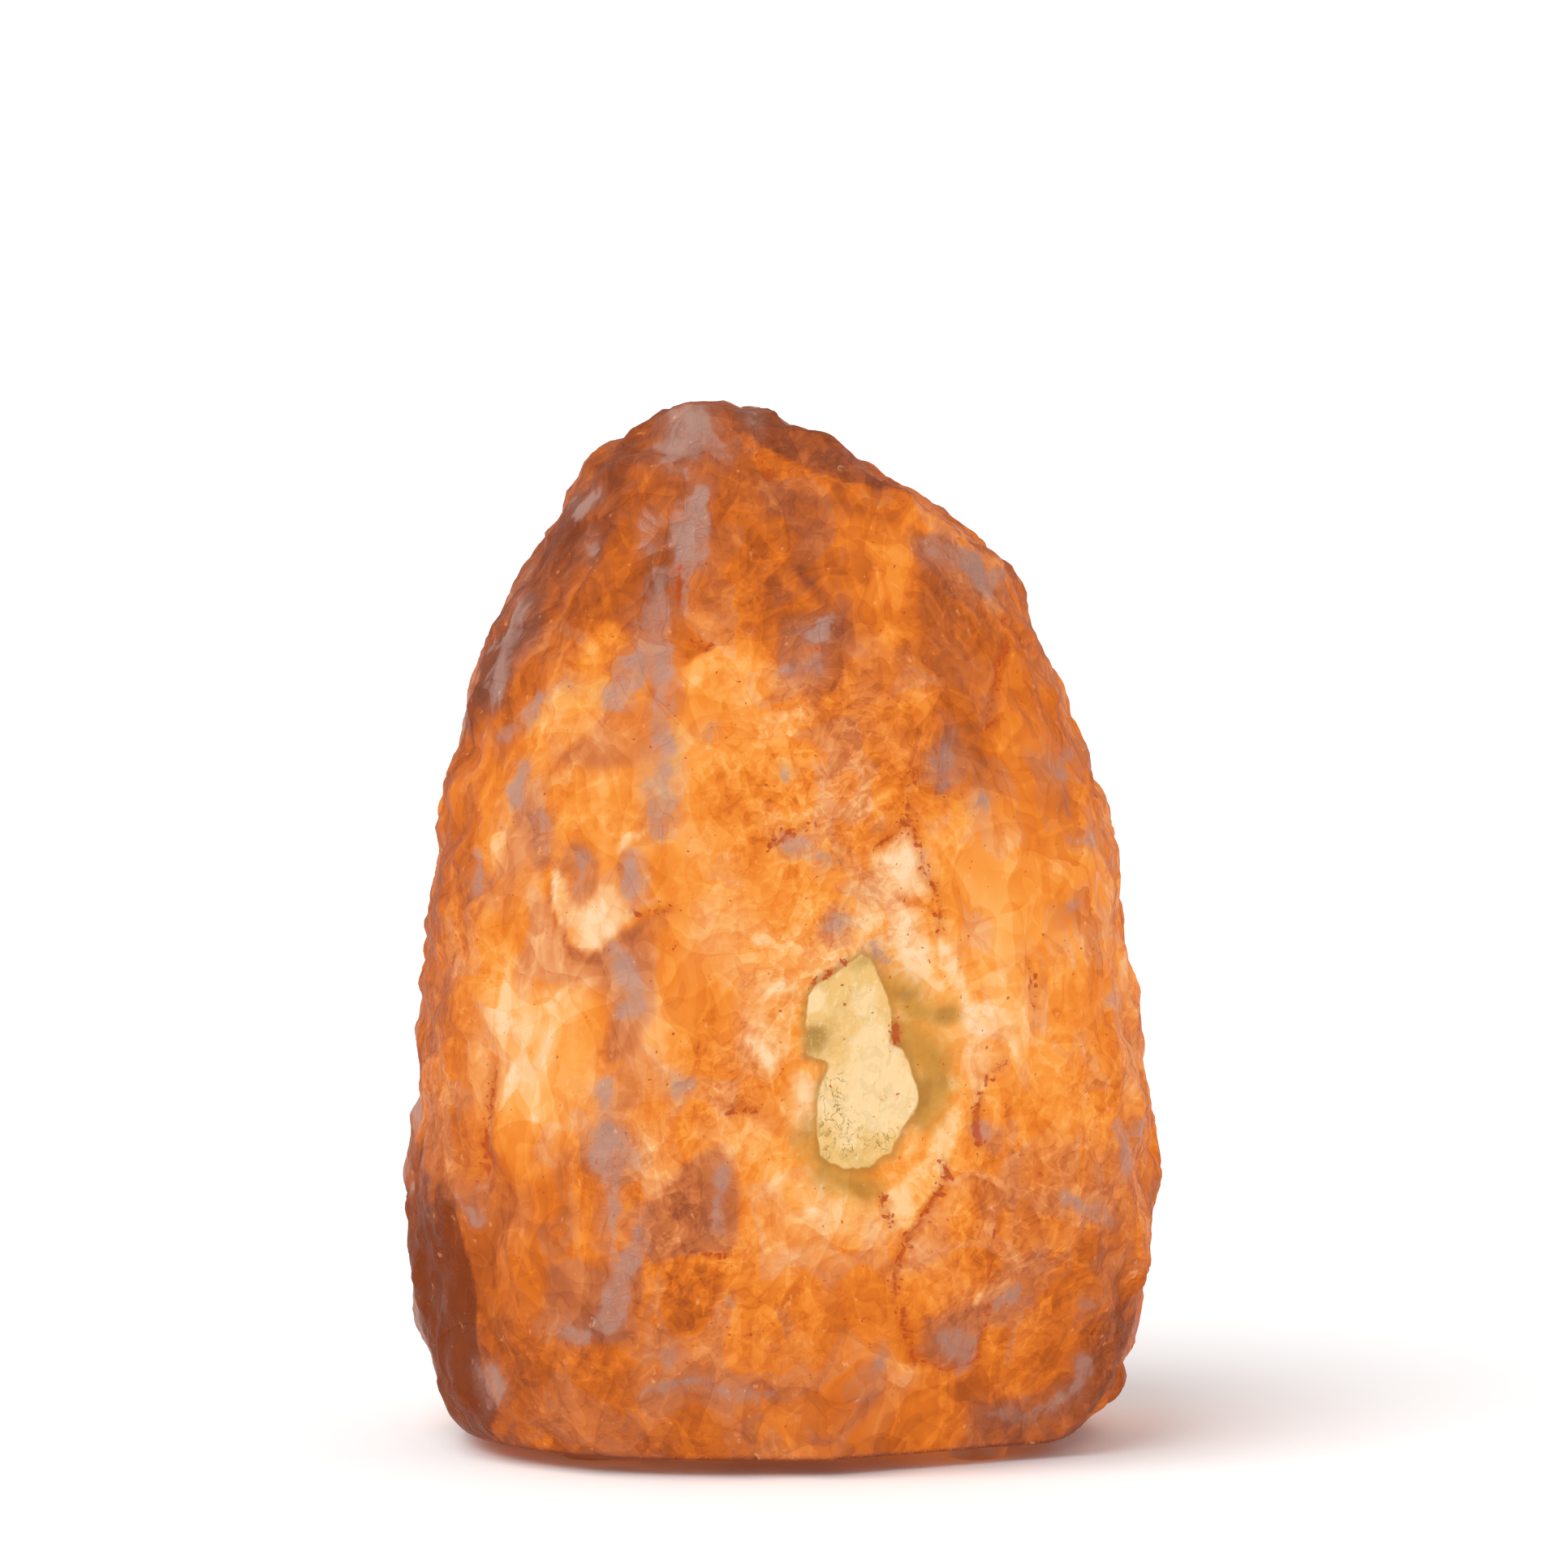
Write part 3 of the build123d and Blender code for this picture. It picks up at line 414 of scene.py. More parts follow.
# regions with an edge: lighter or darker, hazy, how soft the edge is, then the corners
plates = {
    "veeFlake": (0.06, 0.1, 3, [
        (690, 1005), (672, 1050), (677, 1095), (686, 1130), (706, 1160), (724, 1175), (746, 1160),
        (762, 1146), (787, 1134), (797, 1116), (808, 1080), (805, 1040), (812, 1015), (780, 1000)]),
    "veeRim": (0.1, 0.25, 2, [
        (673, 1072), (684, 1122), (706, 1156), (720, 1173), (741, 1170), (756, 1154), (786, 1134),
        (782, 1126), (768, 1120), (762, 1092), (752, 1084), (740, 1092), (732, 1120), (716, 1120),
        (704, 1106), (694, 1092), (684, 1070)]),
    "veeInsideLeft": (-0.1, 0.55, 2, [
        (696, 1042), (712, 1046), (728, 1050), (741, 1074), (730, 1110), (714, 1116), (704, 1104),
        (684, 1071)]),
    "veeInsideRight": (-0.08, 0.55, 2, [
        (764, 1046), (786, 1048), (804, 1058), (805, 1112), (782, 1124), (770, 1098), (762, 1068)]),
    "veeTopEdge": (0.12, 0.25, 2, [
        (758, 1036), (776, 1028), (796, 1024), (792, 1036), (770, 1044), (760, 1054)]),
    "veeDiagonal": (0.08, 0.0, 3, [
        (686, 1020), (694, 990), (712, 968), (740, 958), (764, 962), (746, 986), (728, 1004), (706, 1028)]),
    # painted drop shadow of the V flake, on its left and under it
    "veeDropShadow": (-0.13, 0.25, 2, [
        (664, 1074), (672, 1072), (683, 1124), (704, 1158), (719, 1175), (742, 1172), (757, 1157),
        (788, 1136), (812, 1118), (836, 1116), (814, 1128), (792, 1148), (760, 1170), (744, 1184),
        (716, 1186), (696, 1166), (676, 1130)]),
    "leftPale": (0.06, 0.4, 4, [(650, 1126), (670, 1132), (674, 1180), (660, 1196), (646, 1180)]),
    "veeTop": (0.05, -0.05, 6, [
        (668, 978), (690, 950), (760, 950), (800, 960), (798, 1010), (770, 1030), (740, 1045), (690, 1040)]),
    "veeShade": (-0.09, 0.35, 9, [
        (690, 1150), (722, 1184), (762, 1180), (800, 1140), (835, 1118), (810, 1160), (795, 1210),
        (790, 1290), (752, 1300), (745, 1240), (720, 1205)]),
    "leftGlow": (0.12, -0.1, 16, [
        (598, 1100), (628, 1150), (650, 1190), (690, 1222), (722, 1250), (742, 1300), (744, 1370),
        (722, 1420), (690, 1420), (672, 1460), (640, 1450), (612, 1420), (596, 1340), (590, 1220)]),
    "leftGlowCore": (0.02, 0.0, 14, [
        (618, 1200), (640, 1190), (676, 1250), (690, 1340), (668, 1400), (640, 1370), (620, 1300)]),
    "leftStreak": (0.08, 0.05, 4, [(622, 1150), (630, 1160), (622, 1240), (612, 1330), (606, 1250)]),
    "belowGlow": (-0.07, 0.1, 18, [
        (585, 1460), (660, 1480), (705, 1425), (740, 1450), (740, 1540), (690, 1560), (600, 1570)]),
    "cornerFacet": (-0.3, 0.05, 2, [
        (480, 1360), (520, 1400), (556, 1470), (560, 1520), (572, 1580), (574, 1650), (586, 1700),
        (612, 1740), (600, 1790), (480, 1790)]),
    "cornerFacetTop": (-0.14, 0.35, 5, [
        (480, 1340), (515, 1365), (545, 1410), (556, 1468), (530, 1470), (480, 1450)]),
    "brightWedge": (0.14, -0.15, 5, [
        (742, 765), (715, 790), (680, 850), (640, 905), (600, 960), (575, 1040), (600, 1080), (640, 1010),
        (690, 930), (735, 890), (748, 850), (742, 820), (775, 775)]),
    "wedgeHaze": (-0.08, 0.35, 9, [
        (735, 860), (700, 880), (680, 900), (690, 940), (740, 950), (800, 945), (826, 930), (826, 900),
        (800, 870)]),
    "cheekHaze": (-0.08, 0.3, 7, [
        (650, 930), (676, 950), (668, 1010), (676, 1060), (655, 1080), (636, 1000)]),
    "edgeHaze": (-0.1, 0.55, 6, [
        (650, 725), (628, 755), (604, 800), (586, 862), (604, 884), (622, 840), (646, 795), (658, 750)]),
    "brownCrown": (-0.05, 0.12, 10, [
        (700, 540), (770, 520), (830, 560), (850, 640), (830, 720), (760, 760), (690, 740), (670, 650)]),
    "orangeCrown": (0.08, -0.1, 6, [
        (772, 570), (800, 560), (820, 640), (790, 690), (745, 740), (690, 745), (700, 690), (748, 660)]),
    # darker along the left silhouette: painted shade of the glow towards the rim
    "leftMargin": (-0.17, 0.15, 8, [
        (655, 600), (690, 590), (700, 640), (672, 740), (650, 770), (610, 850), (560, 930), (570, 780)]),
    "ridgeBand": (0.11, -0.2, 2, [
        (905, 525), (950, 548), (1000, 572), (1060, 590), (1110, 604), (1160, 634), (1205, 662), (1238, 692),
        (1228, 694), (1190, 668), (1140, 648), (1090, 630), (1040, 612), (985, 600), (940, 572)]),
    "backSlope": (-0.07, 0.3, 3, [
        (900, 480), (905, 523), (950, 546), (1000, 570), (1060, 588), (1110, 602), (1160, 632), (1205, 660),
        (1250, 700), (1300, 640), (1200, 560), (1000, 480)]),
    "rustShard": (-0.03, 0.05, 2, [
        (916, 632), (936, 640), (962, 690), (975, 722), (950, 745), (925, 748), (912, 724), (936, 700)]),
    "orangeShard": (0.06, -0.15, 2, [
        (905, 622), (938, 640), (975, 690), (1010, 735), (985, 742), (962, 712), (930, 660)]),
    "orangePlate": (0.07, -0.25, 4, [
        (1040, 632), (1080, 628), (1120, 640), (1128, 700), (1140, 780), (1100, 800), (1050, 745),
        (1030, 720), (1012, 690)]),
    "darkDiagonal": (-0.12, 0.1, 3, [(985, 690), (1012, 720), (1025, 740), (1010, 738), (985, 712)]),
    "crownGrey": (-0.05, 0.45, 6, [
        (1125, 655), (1160, 655), (1200, 672), (1238, 705), (1245, 745), (1225, 750), (1190, 720),
        (1140, 700)]),
    "rightShoulder": (-0.08, 0.1, 10, [
        (1130, 700), (1190, 720), (1235, 760), (1232, 880), (1215, 960), (1190, 900), (1140, 860),
        (1100, 820)]),
    "middleHaze": (-0.07, 0.35, 5, [
        (956, 760), (1000, 746), (1040, 748), (1052, 780), (1040, 830), (1010, 870), (975, 830),
        (955, 800)]),
    "bulgeRim": (0.09, 0.0, 4, [
        (830, 840), (850, 810), (880, 790), (910, 800), (950, 815), (990, 835), (985, 850), (940, 835),
        (900, 822), (870, 825), (850, 850)]),
    "bulge": (0.05, -0.05, 18, [
        (830, 840), (880, 795), (950, 820), (1010, 870), (1000, 960), (920, 985), (850, 960), (826, 900)]),
    "whiteFlake": (0.09, 0.35, 8, [
        (1122, 1006), (1100, 1028), (1065, 1048), (1071, 1086), (1103, 1098), (1140, 1104), (1154, 1090),
        (1135, 1050)]),
    "whiteFlakeCore": (0.12, 0.2, 13, [
        (1110, 1030), (1080, 1050), (1078, 1080), (1110, 1090), (1125, 1060)]),
    "besideFissure": (0.04, -0.2, 3, [
        (1130, 1000), (1165, 996), (1205, 962), (1215, 990), (1190, 1040), (1155, 1080), (1138, 1050)]),
    "rightPlate": (0.04, -0.15, 4, [
        (1140, 1030), (1190, 1000), (1240, 980), (1340, 1010), (1370, 1100), (1385, 1250), (1340, 1400),
        (1270, 1420), (1240, 1300), (1200, 1180), (1160, 1140), (1154, 1088)]),
    "peachFlake1": (0.07, 0.2, 4, [
        (1104, 1125), (1130, 1122), (1146, 1150), (1150, 1205), (1128, 1210), (1108, 1180)]),
    "peachFlake2": (0.12, 0.25, 3, [
        (1152, 1138), (1168, 1170), (1192, 1222), (1205, 1250), (1190, 1252), (1170, 1215), (1155, 1180)]),
    "peachFlake3": (0.06, 0.25, 5, [
        (1180, 1240), (1210, 1230), (1245, 1260), (1248, 1300), (1220, 1330), (1195, 1360), (1186, 1300)]),
    "rightFlake": (0.05, 0.0, 3, [
        (1300, 1150), (1335, 1142), (1350, 1180), (1335, 1215), (1300, 1220), (1290, 1190)]),
    "windowSurround": (-0.03, 0.2, 14, [
        (905, 1215), (960, 1175), (1010, 1140), (1052, 1150), (1040, 1185), (1010, 1210), (992, 1240),
        (992, 1290), (1003, 1330), (995, 1390), (975, 1420), (940, 1390), (920, 1320), (905, 1270)]),
    "underWindow": (0.06, 0.1, 8, [
        (990, 1440), (1060, 1470), (1120, 1450), (1130, 1500), (1100, 1530), (1020, 1520), (975, 1480)]),
    "bowWedge": (0.13, 0.0, 4, [
        (1180, 1350), (1187, 1400), (1170, 1427), (1160, 1460), (1142, 1485), (1125, 1520), (1100, 1500),
        (1090, 1470), (1108, 1460), (1140, 1430), (1140, 1400), (1160, 1380)]),
    "mauveAbove": (-0.08, 0.45, 5, [
        (1004, 1150), (1010, 1118), (1040, 1108), (1055, 1130), (1050, 1165), (1020, 1165)]),
    "paleSpots": (0.12, 0.2, 5, [(925, 1150), (945, 1145), (948, 1162), (930, 1170)]),
    "paleSpotRow": (0.12, 0.2, 5, [(960, 1205), (982, 1205), (980, 1222), (940, 1230), (935, 1218)]),
    "paleSliver": (0.14, 0.2, 4, [
        (915, 1262), (930, 1275), (955, 1305), (952, 1318), (935, 1305), (915, 1278)]),
    "paleHeel": (0.1, 0.25, 4, [(965, 1322), (990, 1318), (1002, 1335), (998, 1370), (980, 1350)]),
    "besideCrack": (-0.06, 0.55, 6, [(1212, 1372), (1232, 1380), (1240, 1410), (1222, 1425), (1212, 1400)]),
    "leftFlake": (0.08, 0.05, 4, [
        (905, 1368), (930, 1372), (950, 1400), (975, 1440), (965, 1480), (935, 1440), (912, 1420)]),
    "tongue": (0.03, 0.12, 3, [
        (1168, 1445), (1190, 1455), (1226, 1497), (1222, 1596), (1212, 1676), (1167, 1697), (1135, 1680),
        (1112, 1631), (1105, 1589), (1119, 1546), (1144, 1497)]),
    "tongueFoot": (-0.1, 0.45, 8, [(1128, 1620), (1214, 1610), (1211, 1676), (1167, 1696), (1138, 1682)]),
    "footFacet": (-0.03, -0.3, 3, [
        (1128, 1720), (1160, 1708), (1182, 1740), (1195, 1790), (1090, 1800), (1105, 1755)]),
    "deepSpot1": (-0.04, -0.5, 5, [(756, 1470), (780, 1455), (793, 1478), (770, 1492), (760, 1490)]),
    "deepFlake": (-0.15, -0.8, 4, [
        (830, 1552), (870, 1545), (895, 1552), (890, 1590), (868, 1640), (830, 1650), (815, 1600)]),
    "deepFlakeRim": (0.12, 0.0, 2, [(835, 1552), (870, 1544), (896, 1552), (890, 1560), (858, 1556)]),
    "lilacHaze": (-0.08, 0.6, 4, [
        (1165, 895), (1180, 900), (1192, 930), (1188, 960), (1160, 972), (1140, 950), (1140, 925)]),
    "deepFlake2": (-0.06, -0.35, 4, [
        (1130, 965), (1170, 960), (1205, 958), (1168, 996), (1142, 1004), (1126, 990)]),
    "lowBand": (-0.02, 0.1, 12, [
        (590, 1690), (700, 1670), (850, 1690), (1000, 1700), (1100, 1690), (1180, 1720), (1300, 1700),
        (1400, 1600), (1400, 1820), (560, 1820)]),
    "lowHaze": (-0.08, 0.6, 9, [
        (674, 1575), (720, 1560), (790, 1550), (796, 1620), (788, 1650), (700, 1652), (680, 1620)]),
    "underVeeHaze": (-0.03, 0.55, 8, [
        (738, 1165), (770, 1150), (792, 1150), (796, 1200), (790, 1290), (762, 1296), (752, 1240)]),
    "veeSideHaze": (-0.01, 0.6, 8, [
        (644, 1100), (670, 1110), (684, 1140), (706, 1168), (735, 1180), (740, 1212), (690, 1208),
        (648, 1190)]),
    "midVeinHaze": (-0.02, 0.6, 8, [
        (728, 1400), (750, 1380), (790, 1395), (798, 1430), (780, 1452), (745, 1462), (726, 1440)]),
    "brightStrokes": (0.07, -0.05, 4, [
        (770, 1366), (820, 1362), (862, 1390), (850, 1420), (806, 1486), (792, 1450), (776, 1420)]),
    "patchHaze": (-0.13, 0.75, 5, [
        (800, 1480), (840, 1440), (890, 1412), (912, 1470), (905, 1540), (840, 1545), (800, 1560),
        (780, 1520)]),
    "cornerHaze": (-0.08, 0.35, 10, [
        (1200, 1740), (1260, 1740), (1320, 1700), (1350, 1640), (1400, 1600), (1400, 1820), (1180, 1820)]),
    "rightHaze": (-0.02, 0.15, 10, [
        (1240, 1420), (1330, 1430), (1390, 1480), (1390, 1600), (1300, 1600), (1235, 1560)]),
}
sideFacets = ("cornerFacet", "cornerFacetTop")  # these reach round the left side
# how far these stand out, and over which depth in them the step rises, in mm
plateLifts = {"tongue": (1.1, -0.8, 0.8), "veeFlake": (1.0, -0.8, 1.0), "ridgeBand": (0.6, -1.2, 1.2)}
# wide soft lights and shades: across, down, half width, half height, lighter or darker
glowSpots = [
    (1075, 1330, 95, 130, 0.12),
    (655, 1290, 60, 120, 0.09),
    (1040, 1180, 160, 60, 0.05),
    (960, 1480, 110, 70, 0.09),
    (1110, 1240, 60, 60, 0.05),
    (900, 900, 130, 70, 0.07),
    (740, 830, 60, 60, 0.05),
    (1230, 1130, 80, 120, 0.05),
    (720, 650, 60, 90, -0.06),
    (1000, 560, 150, 50, -0.02),
    (1180, 820, 60, 130, -0.04),
    (620, 1650, 90, 80, -0.08),
    (870, 1500, 60, 60, -0.03),
    (1340, 1640, 70, 90, -0.12),
    (1120, 1640, 110, 70, -0.02),
    (900, 1700, 200, 50, 0.03),
    (985, 1600, 110, 60, 0.04),
    (1215, 1050, 60, 60, 0.03),
    (720, 1560, 60, 60, 0.04),
]
# crumbly and smooth places: the same, rougher or smoother
roughSpots = [
    (995, 930, 85, 60, 0.8),
    (1250, 1570, 70, 90, 0.5),
    (915, 1330, 70, 60, 0.6),
    (860, 1590, 45, 55, 0.2),
    (940, 700, 60, 60, 0.2),
    (960, 1590, 90, 60, 0.4),
    (1340, 1330, 50, 120, 0.3),
    (1250, 1110, 90, 140, -0.9),
    (870, 870, 70, 60, -0.7),
    (1060, 1640, 70, 90, -0.5),
    (820, 1250, 60, 90, -0.5),
    (1070, 690, 50, 60, -0.8),
    (660, 1560, 70, 60, -0.6),
    (900, 1720, 150, 50, -0.5),
    (1010, 1190, 60, 50, 0.5),
    (1290, 900, 50, 120, -0.3),
    (700, 650, 50, 60, -0.3),
]
# places where the salt is drawn out in upright fibres
fibreSpots = [
    (650, 1290, 70, 140, 1.0),
    (690, 850, 70, 90, 0.6),
    (1180, 1640, 45, 60, 0.8),
    (540, 1600, 40, 120, 0.7),
    (780, 640, 90, 110, 0.7),
    (1190, 1200, 40, 70, 0.8),
    (1380, 1400, 30, 90, 0.6),
    (720, 1620, 70, 60, 0.4),
]
# fine cracks that run through the clear salt, and one line of painted shadow drawn like them: across, down,
# half width
cracks = {
    "fissure": [
        (1129, 945, 1), (1122, 980, 2), (1119, 1004, 3), (1132, 1034, 1.6), (1138, 1063, 2.2),
        (1152, 1088, 1.5)],
    "fissureFoot": [(1154, 1088, 1), (1158, 1149, 0.7)],
    "windowCrack": [
        (1232, 1312, 0.8), (1212, 1337, 1.6), (1203, 1370, 3.5), (1205, 1397, 4), (1210, 1410, 3)],
    "wedgeFoot": [(1155, 1441, 2), (1168, 1432, 3.5), (1165, 1450, 3.5)],
    "tongueCrack": [
        (1168, 1445, 2), (1160, 1466, 2.2), (1145, 1490, 1.6), (1125, 1525, 1.2), (1112, 1547, 2),
        (1103, 1589, 1), (1110, 1631, 1.8), (1124, 1666, 1), (1131, 1690, 1.4)],
    "tongueEdge": [
        (1226, 1497, 0.4), (1219, 1596, 0.6), (1212, 1676, 1.2), (1167, 1697, 1.2), (1140, 1684, 0.6)],
    "wedgeCrack": [(1087, 1470, 1.4), (1097, 1497, 2.2), (1104, 1512, 1)],
    "leftCrack": [(600, 1310, 0.6), (597, 1350, 2), (596, 1400, 1.5), (588, 1432, 5), (582, 1455, 2)],
    "windowRed": [(1104, 1257, 1.5), (1106, 1270, 4.5), (1104, 1284, 4.5)],
    "arcLeft": [(945, 1042, 1.5), (968, 1028, 2), (995, 1017, 1)],
    "leftFlakeEdge": [(900, 1372, 1), (915, 1367, 1.5), (932, 1370, 1)],
    "shoulderCrack": [(1240, 760, 0.5), (1232, 830, 0.8), (1218, 900, 0.6)],
    "rightHair": [(1269, 1181, 0.5), (1275, 1244, 0.6)],
    "neckHair": [(836, 700, 1), (835, 735, 0.7)],
    "notch": [(855, 785, 2), (866, 795, 2), (874, 790, 1)],
    "veeLine": [(785, 1130, 0.8), (800, 1124, 0.8), (830, 1116, 0.5)],
    "whiteTop": [(1066, 1047, 1), (1095, 1030, 1.5), (1119, 1006, 2)],
    "ridgeLine": [(935, 555, 1.5), (950, 575, 1.5)],
    "patchFoot": [(870, 1546, 2), (895, 1546, 1)],
    # a dark line along the window's upper left edge: painted shadow of the flake edge above it, drawn as a
    # crack
    "windowEdgeShadow": [(1004, 1214, 0.8), (1020, 1200, 1), (1050, 1182, 0.6)],
}
windowOutline = [
    (1062, 1175), (1040, 1192), (1012, 1210), (1000, 1225), (995, 1250), (994, 1280), (996, 1302),
    (1022, 1312), (1015, 1335), (1007, 1360), (1007, 1395), (1010, 1420), (1025, 1432), (1055, 1441),
    (1075, 1435), (1095, 1422), (1107, 1400), (1125, 1375), (1131, 1355), (1125, 1332), (1120, 1310),
    (1112, 1290), (1100, 1285), (1100, 1255), (1092, 1227), (1085, 1200), (1075, 1180)
]
# the pale heart of the window with the green spots in it, and where hairs grow
windowHeart = [
    (1012, 1282, 17, 18, -0.85),
    (1068, 1184, 16, 12, -0.4),
    (1056, 1436, 60, 16, -0.5),
    (1078, 1300, 22, 36, 1.0),
    (1008, 1232, 12, 13, 1.0),
    (1108, 1348, 18, 26, 0.9),
    (1048, 1375, 34, 38, 0.75),
    (1072, 1240, 14, 22, 0.5),
]
hairSpots = [
    (1026, 1342, 16, 26, 0.9),
    (1024, 1400, 16, 24, 0.8),
    (1078, 1408, 22, 14, 0.9),
    (1030, 1296, 10, 8, 0.8),
]
# the olive shade beside the window
mossStrokes = {
    "rightTop": [(1104, 1216, 14), (1130, 1240, 20), (1160, 1246, 12)],
    "rightMiddle": [(1120, 1262, 18), (1140, 1300, 24), (1146, 1345, 20), (1136, 1378, 12)],
    "below": [(990, 1392, 8), (1000, 1424, 10)],
    "foot": [(1015, 1446, 12), (1068, 1458, 14)],
}
# pits and rises of the skin in mm: x, y and z, radius, and how far it rises or, below zero, sinks
hollowPlaces = [
    (-24, 6, 194, 5, -2.5),  # the pit behind the tip
    (-8, 4, 194, 7, -1.6),  # the dip beside it
    (-38, 0, 185, 12, -3.2),  # where the block is a little leaner
    (-44, 0, 168, 12, -1.7),
    (-69, 0, 68, 16, -1.7),
    (12, 0, 191, 6, -1.5),
    (-17, -8, 193, 8, 1.8),  # the tip
]


# what is left to chance: the width of its swellings in mm, its seed and, where it isn't 3, the octaves
chances = {
    "patchy": (14, 3),
    "light": (34, 5),
    "haze": (26, 8),
    "warpAcross": (8, 11),
    "warpDown": (8, 17),
    "wanderAcross": (19, 41),
    "wanderDown": (19, 47),
    "rough": (24, 77, 2),
    "fibre": (28, 83, 2),
    "milk": (21, 29),
    "crack": (38, 61),
    "crackGaps": (30, 67),
}


def toPixels(points):
    # where each point of the rock lies in the photograph
    high = points[:, 2] * math.cos(viewTilt) + points[:, 1] * math.sin(viewTilt)
    scale = pictureScale["perPixel"]
    across, down = pictureScale["centre"] + points[:, 0] / scale, pictureScale["ground"] - high / scale
    return np.stack([across, down], axis=1)


def addSpots(field, seen, spots, front):
    for across, down, wide, high, gain in spots:
        far = ((seen[:, 0] - across) / wide) ** 2 + ((seen[:, 1] - down) / high) ** 2
        field += gain * front * bell(far)


def near(points, place, reach):
    return bell((np.linalg.norm(points - place, axis=1) / reach) ** 2)


def rockFields(points, normals):
    # every field that the rock's relief and colours are made from, one number per point
    def chance(name, spots=points):
        return fractalNoise(spots, *chances[name])

    setting = rockSettings
    perPixel = pictureScale["perPixel"]
    seen = toPixels(points)
    facing = normals @ np.array([0, -math.cos(viewTilt), math.sin(viewTilt)])
    patchy = chance("patchy")
    front = softStep(facing + 0.10 * patchy, *setting["frontEdge"])
    onFront = front > 0.2
    inBore = np.hypot(points[:, 0], points[:, 1]) < setting["boreRadius"] + 1.5
    inBore &= points[:, 2] < setting["boreTop"] + 1.5
    outer = softStep(points[:, 2], *setting["baseEdge"]) * ~inBore
    warp = np.stack([chance("warpAcross"), chance("warpDown")], axis=1)
    wander = np.stack([chance("wanderAcross"), chance("wanderDown")], axis=1)
    ragged = seen + setting["raggedBy"] * warp
    calmer = seen + setting["calmerBy"] * warp

    away = np.linalg.norm(points - [0, 0, setting["bulbHeight"]], axis=1)
    light = setting["glow"] - setting["glowLoss"] * (away - setting["glowReach"])
    light += setting["lightSwing"] * chance("light", points * [1, 1, 0.6]) * (1 - 0.7 * front)
    light -= setting["undersideShade"] * softStep(-normals[:, 2], *setting["underside"])
    wildHaze = chance("haze", points * [1, 1, 0.7]) * (1 - 0.5 * front)
    haze = setting["haze"] + setting["hazeSwing"] * wildHaze
    addSpots(light, seen, glowSpots, front)
    turn = np.degrees(np.arctan2(points[:, 0], -points[:, 1]))
    middle, reach, height, heightReach = setting["leftSide"]
    aside = ((turn - middle) / reach) ** 2
    above = ((points[:, 2] - height) / heightReach) ** 2
    leftSide = 1.15 - aside - above + 0.4 * patchy
    leftSide = softStep(leftSide, 0.0, 0.9)
    for name, (gain, veil, soft, outline) in plates.items():
        moved = seen + (2 + 0.9 * soft) * warp + max(0, 1.6 * soft - 6) * wander
        inside = softStep(outlineField(moved, outline), -soft, soft)
        inside *= leftSide if name in sideFacets else front
        light += gain * inside
        haze += veil * inside

    rough = setting["rough"] + setting["roughSwing"] * chance("rough")
    fibre = setting["fibre"] + setting["fibreSwing"] * chance("fibre")
    core, hair = np.zeros(len(points)), np.zeros(len(points))
    for field, spots in ((rough, roughSpots), (fibre, fibreSpots), (core, windowHeart), (hair, hairSpots)):
        addSpots(field, seen, spots, front)

    # milky veins and cracks: placed on the front, left to chance elsewhere
    wildMilk = chance("milk", points * [1, 1, 0.45] + 40) - setting["wildMilk"]
    wildMilk *= setting["wildMilkWidth"]
    milk = strokeField(ragged, milkStrokes.values()) * perPixel * front + wildMilk * (1 - front)
    wildCrack = 9 * np.abs(chance("crack", points + 90)) + 3 * softStep(chance("crackGaps"), -0.5, 0.3)
    crack = -strokeField(calmer, cracks.values()) * perPixel * front + wildCrack * (1 - front)
    farOff = -20.0
    frayed = seen + setting["windowBy"] * warp
    window = np.where(onFront, outlineField(frayed, windowOutline) * perPixel, farOff)
    moss = np.where(onFront, strokeField(ragged, mossStrokes.values()) * perPixel, farOff)

    lift = -setting["crackDepth"] * softStep(-crack, -1.6, 0.0)
    lift -= setting["windowDepth"] * softStep(window, -1.0, 1.5)
    for name, (rise, low, high) in plateLifts.items():
        lift += rise * softStep(outlineField(calmer, plates[name][3]) * perPixel, low, high)
    lift = front * lift - setting["sink"]
    for x, y, z, reach, rise in hollowPlaces:
        lift += rise * near(points, [x, y, z], reach)
    return {"light": light, "haze": haze, "milk": milk, "crack": crack, "window": window, "core": core,
            "hair": hair, "moss": moss, "lift": lift * outer, "outer": outer, "front": front,
            "rough": np.clip(rough, 0, 1.2), "fibre": np.clip(fibre, 0, 1.2)}


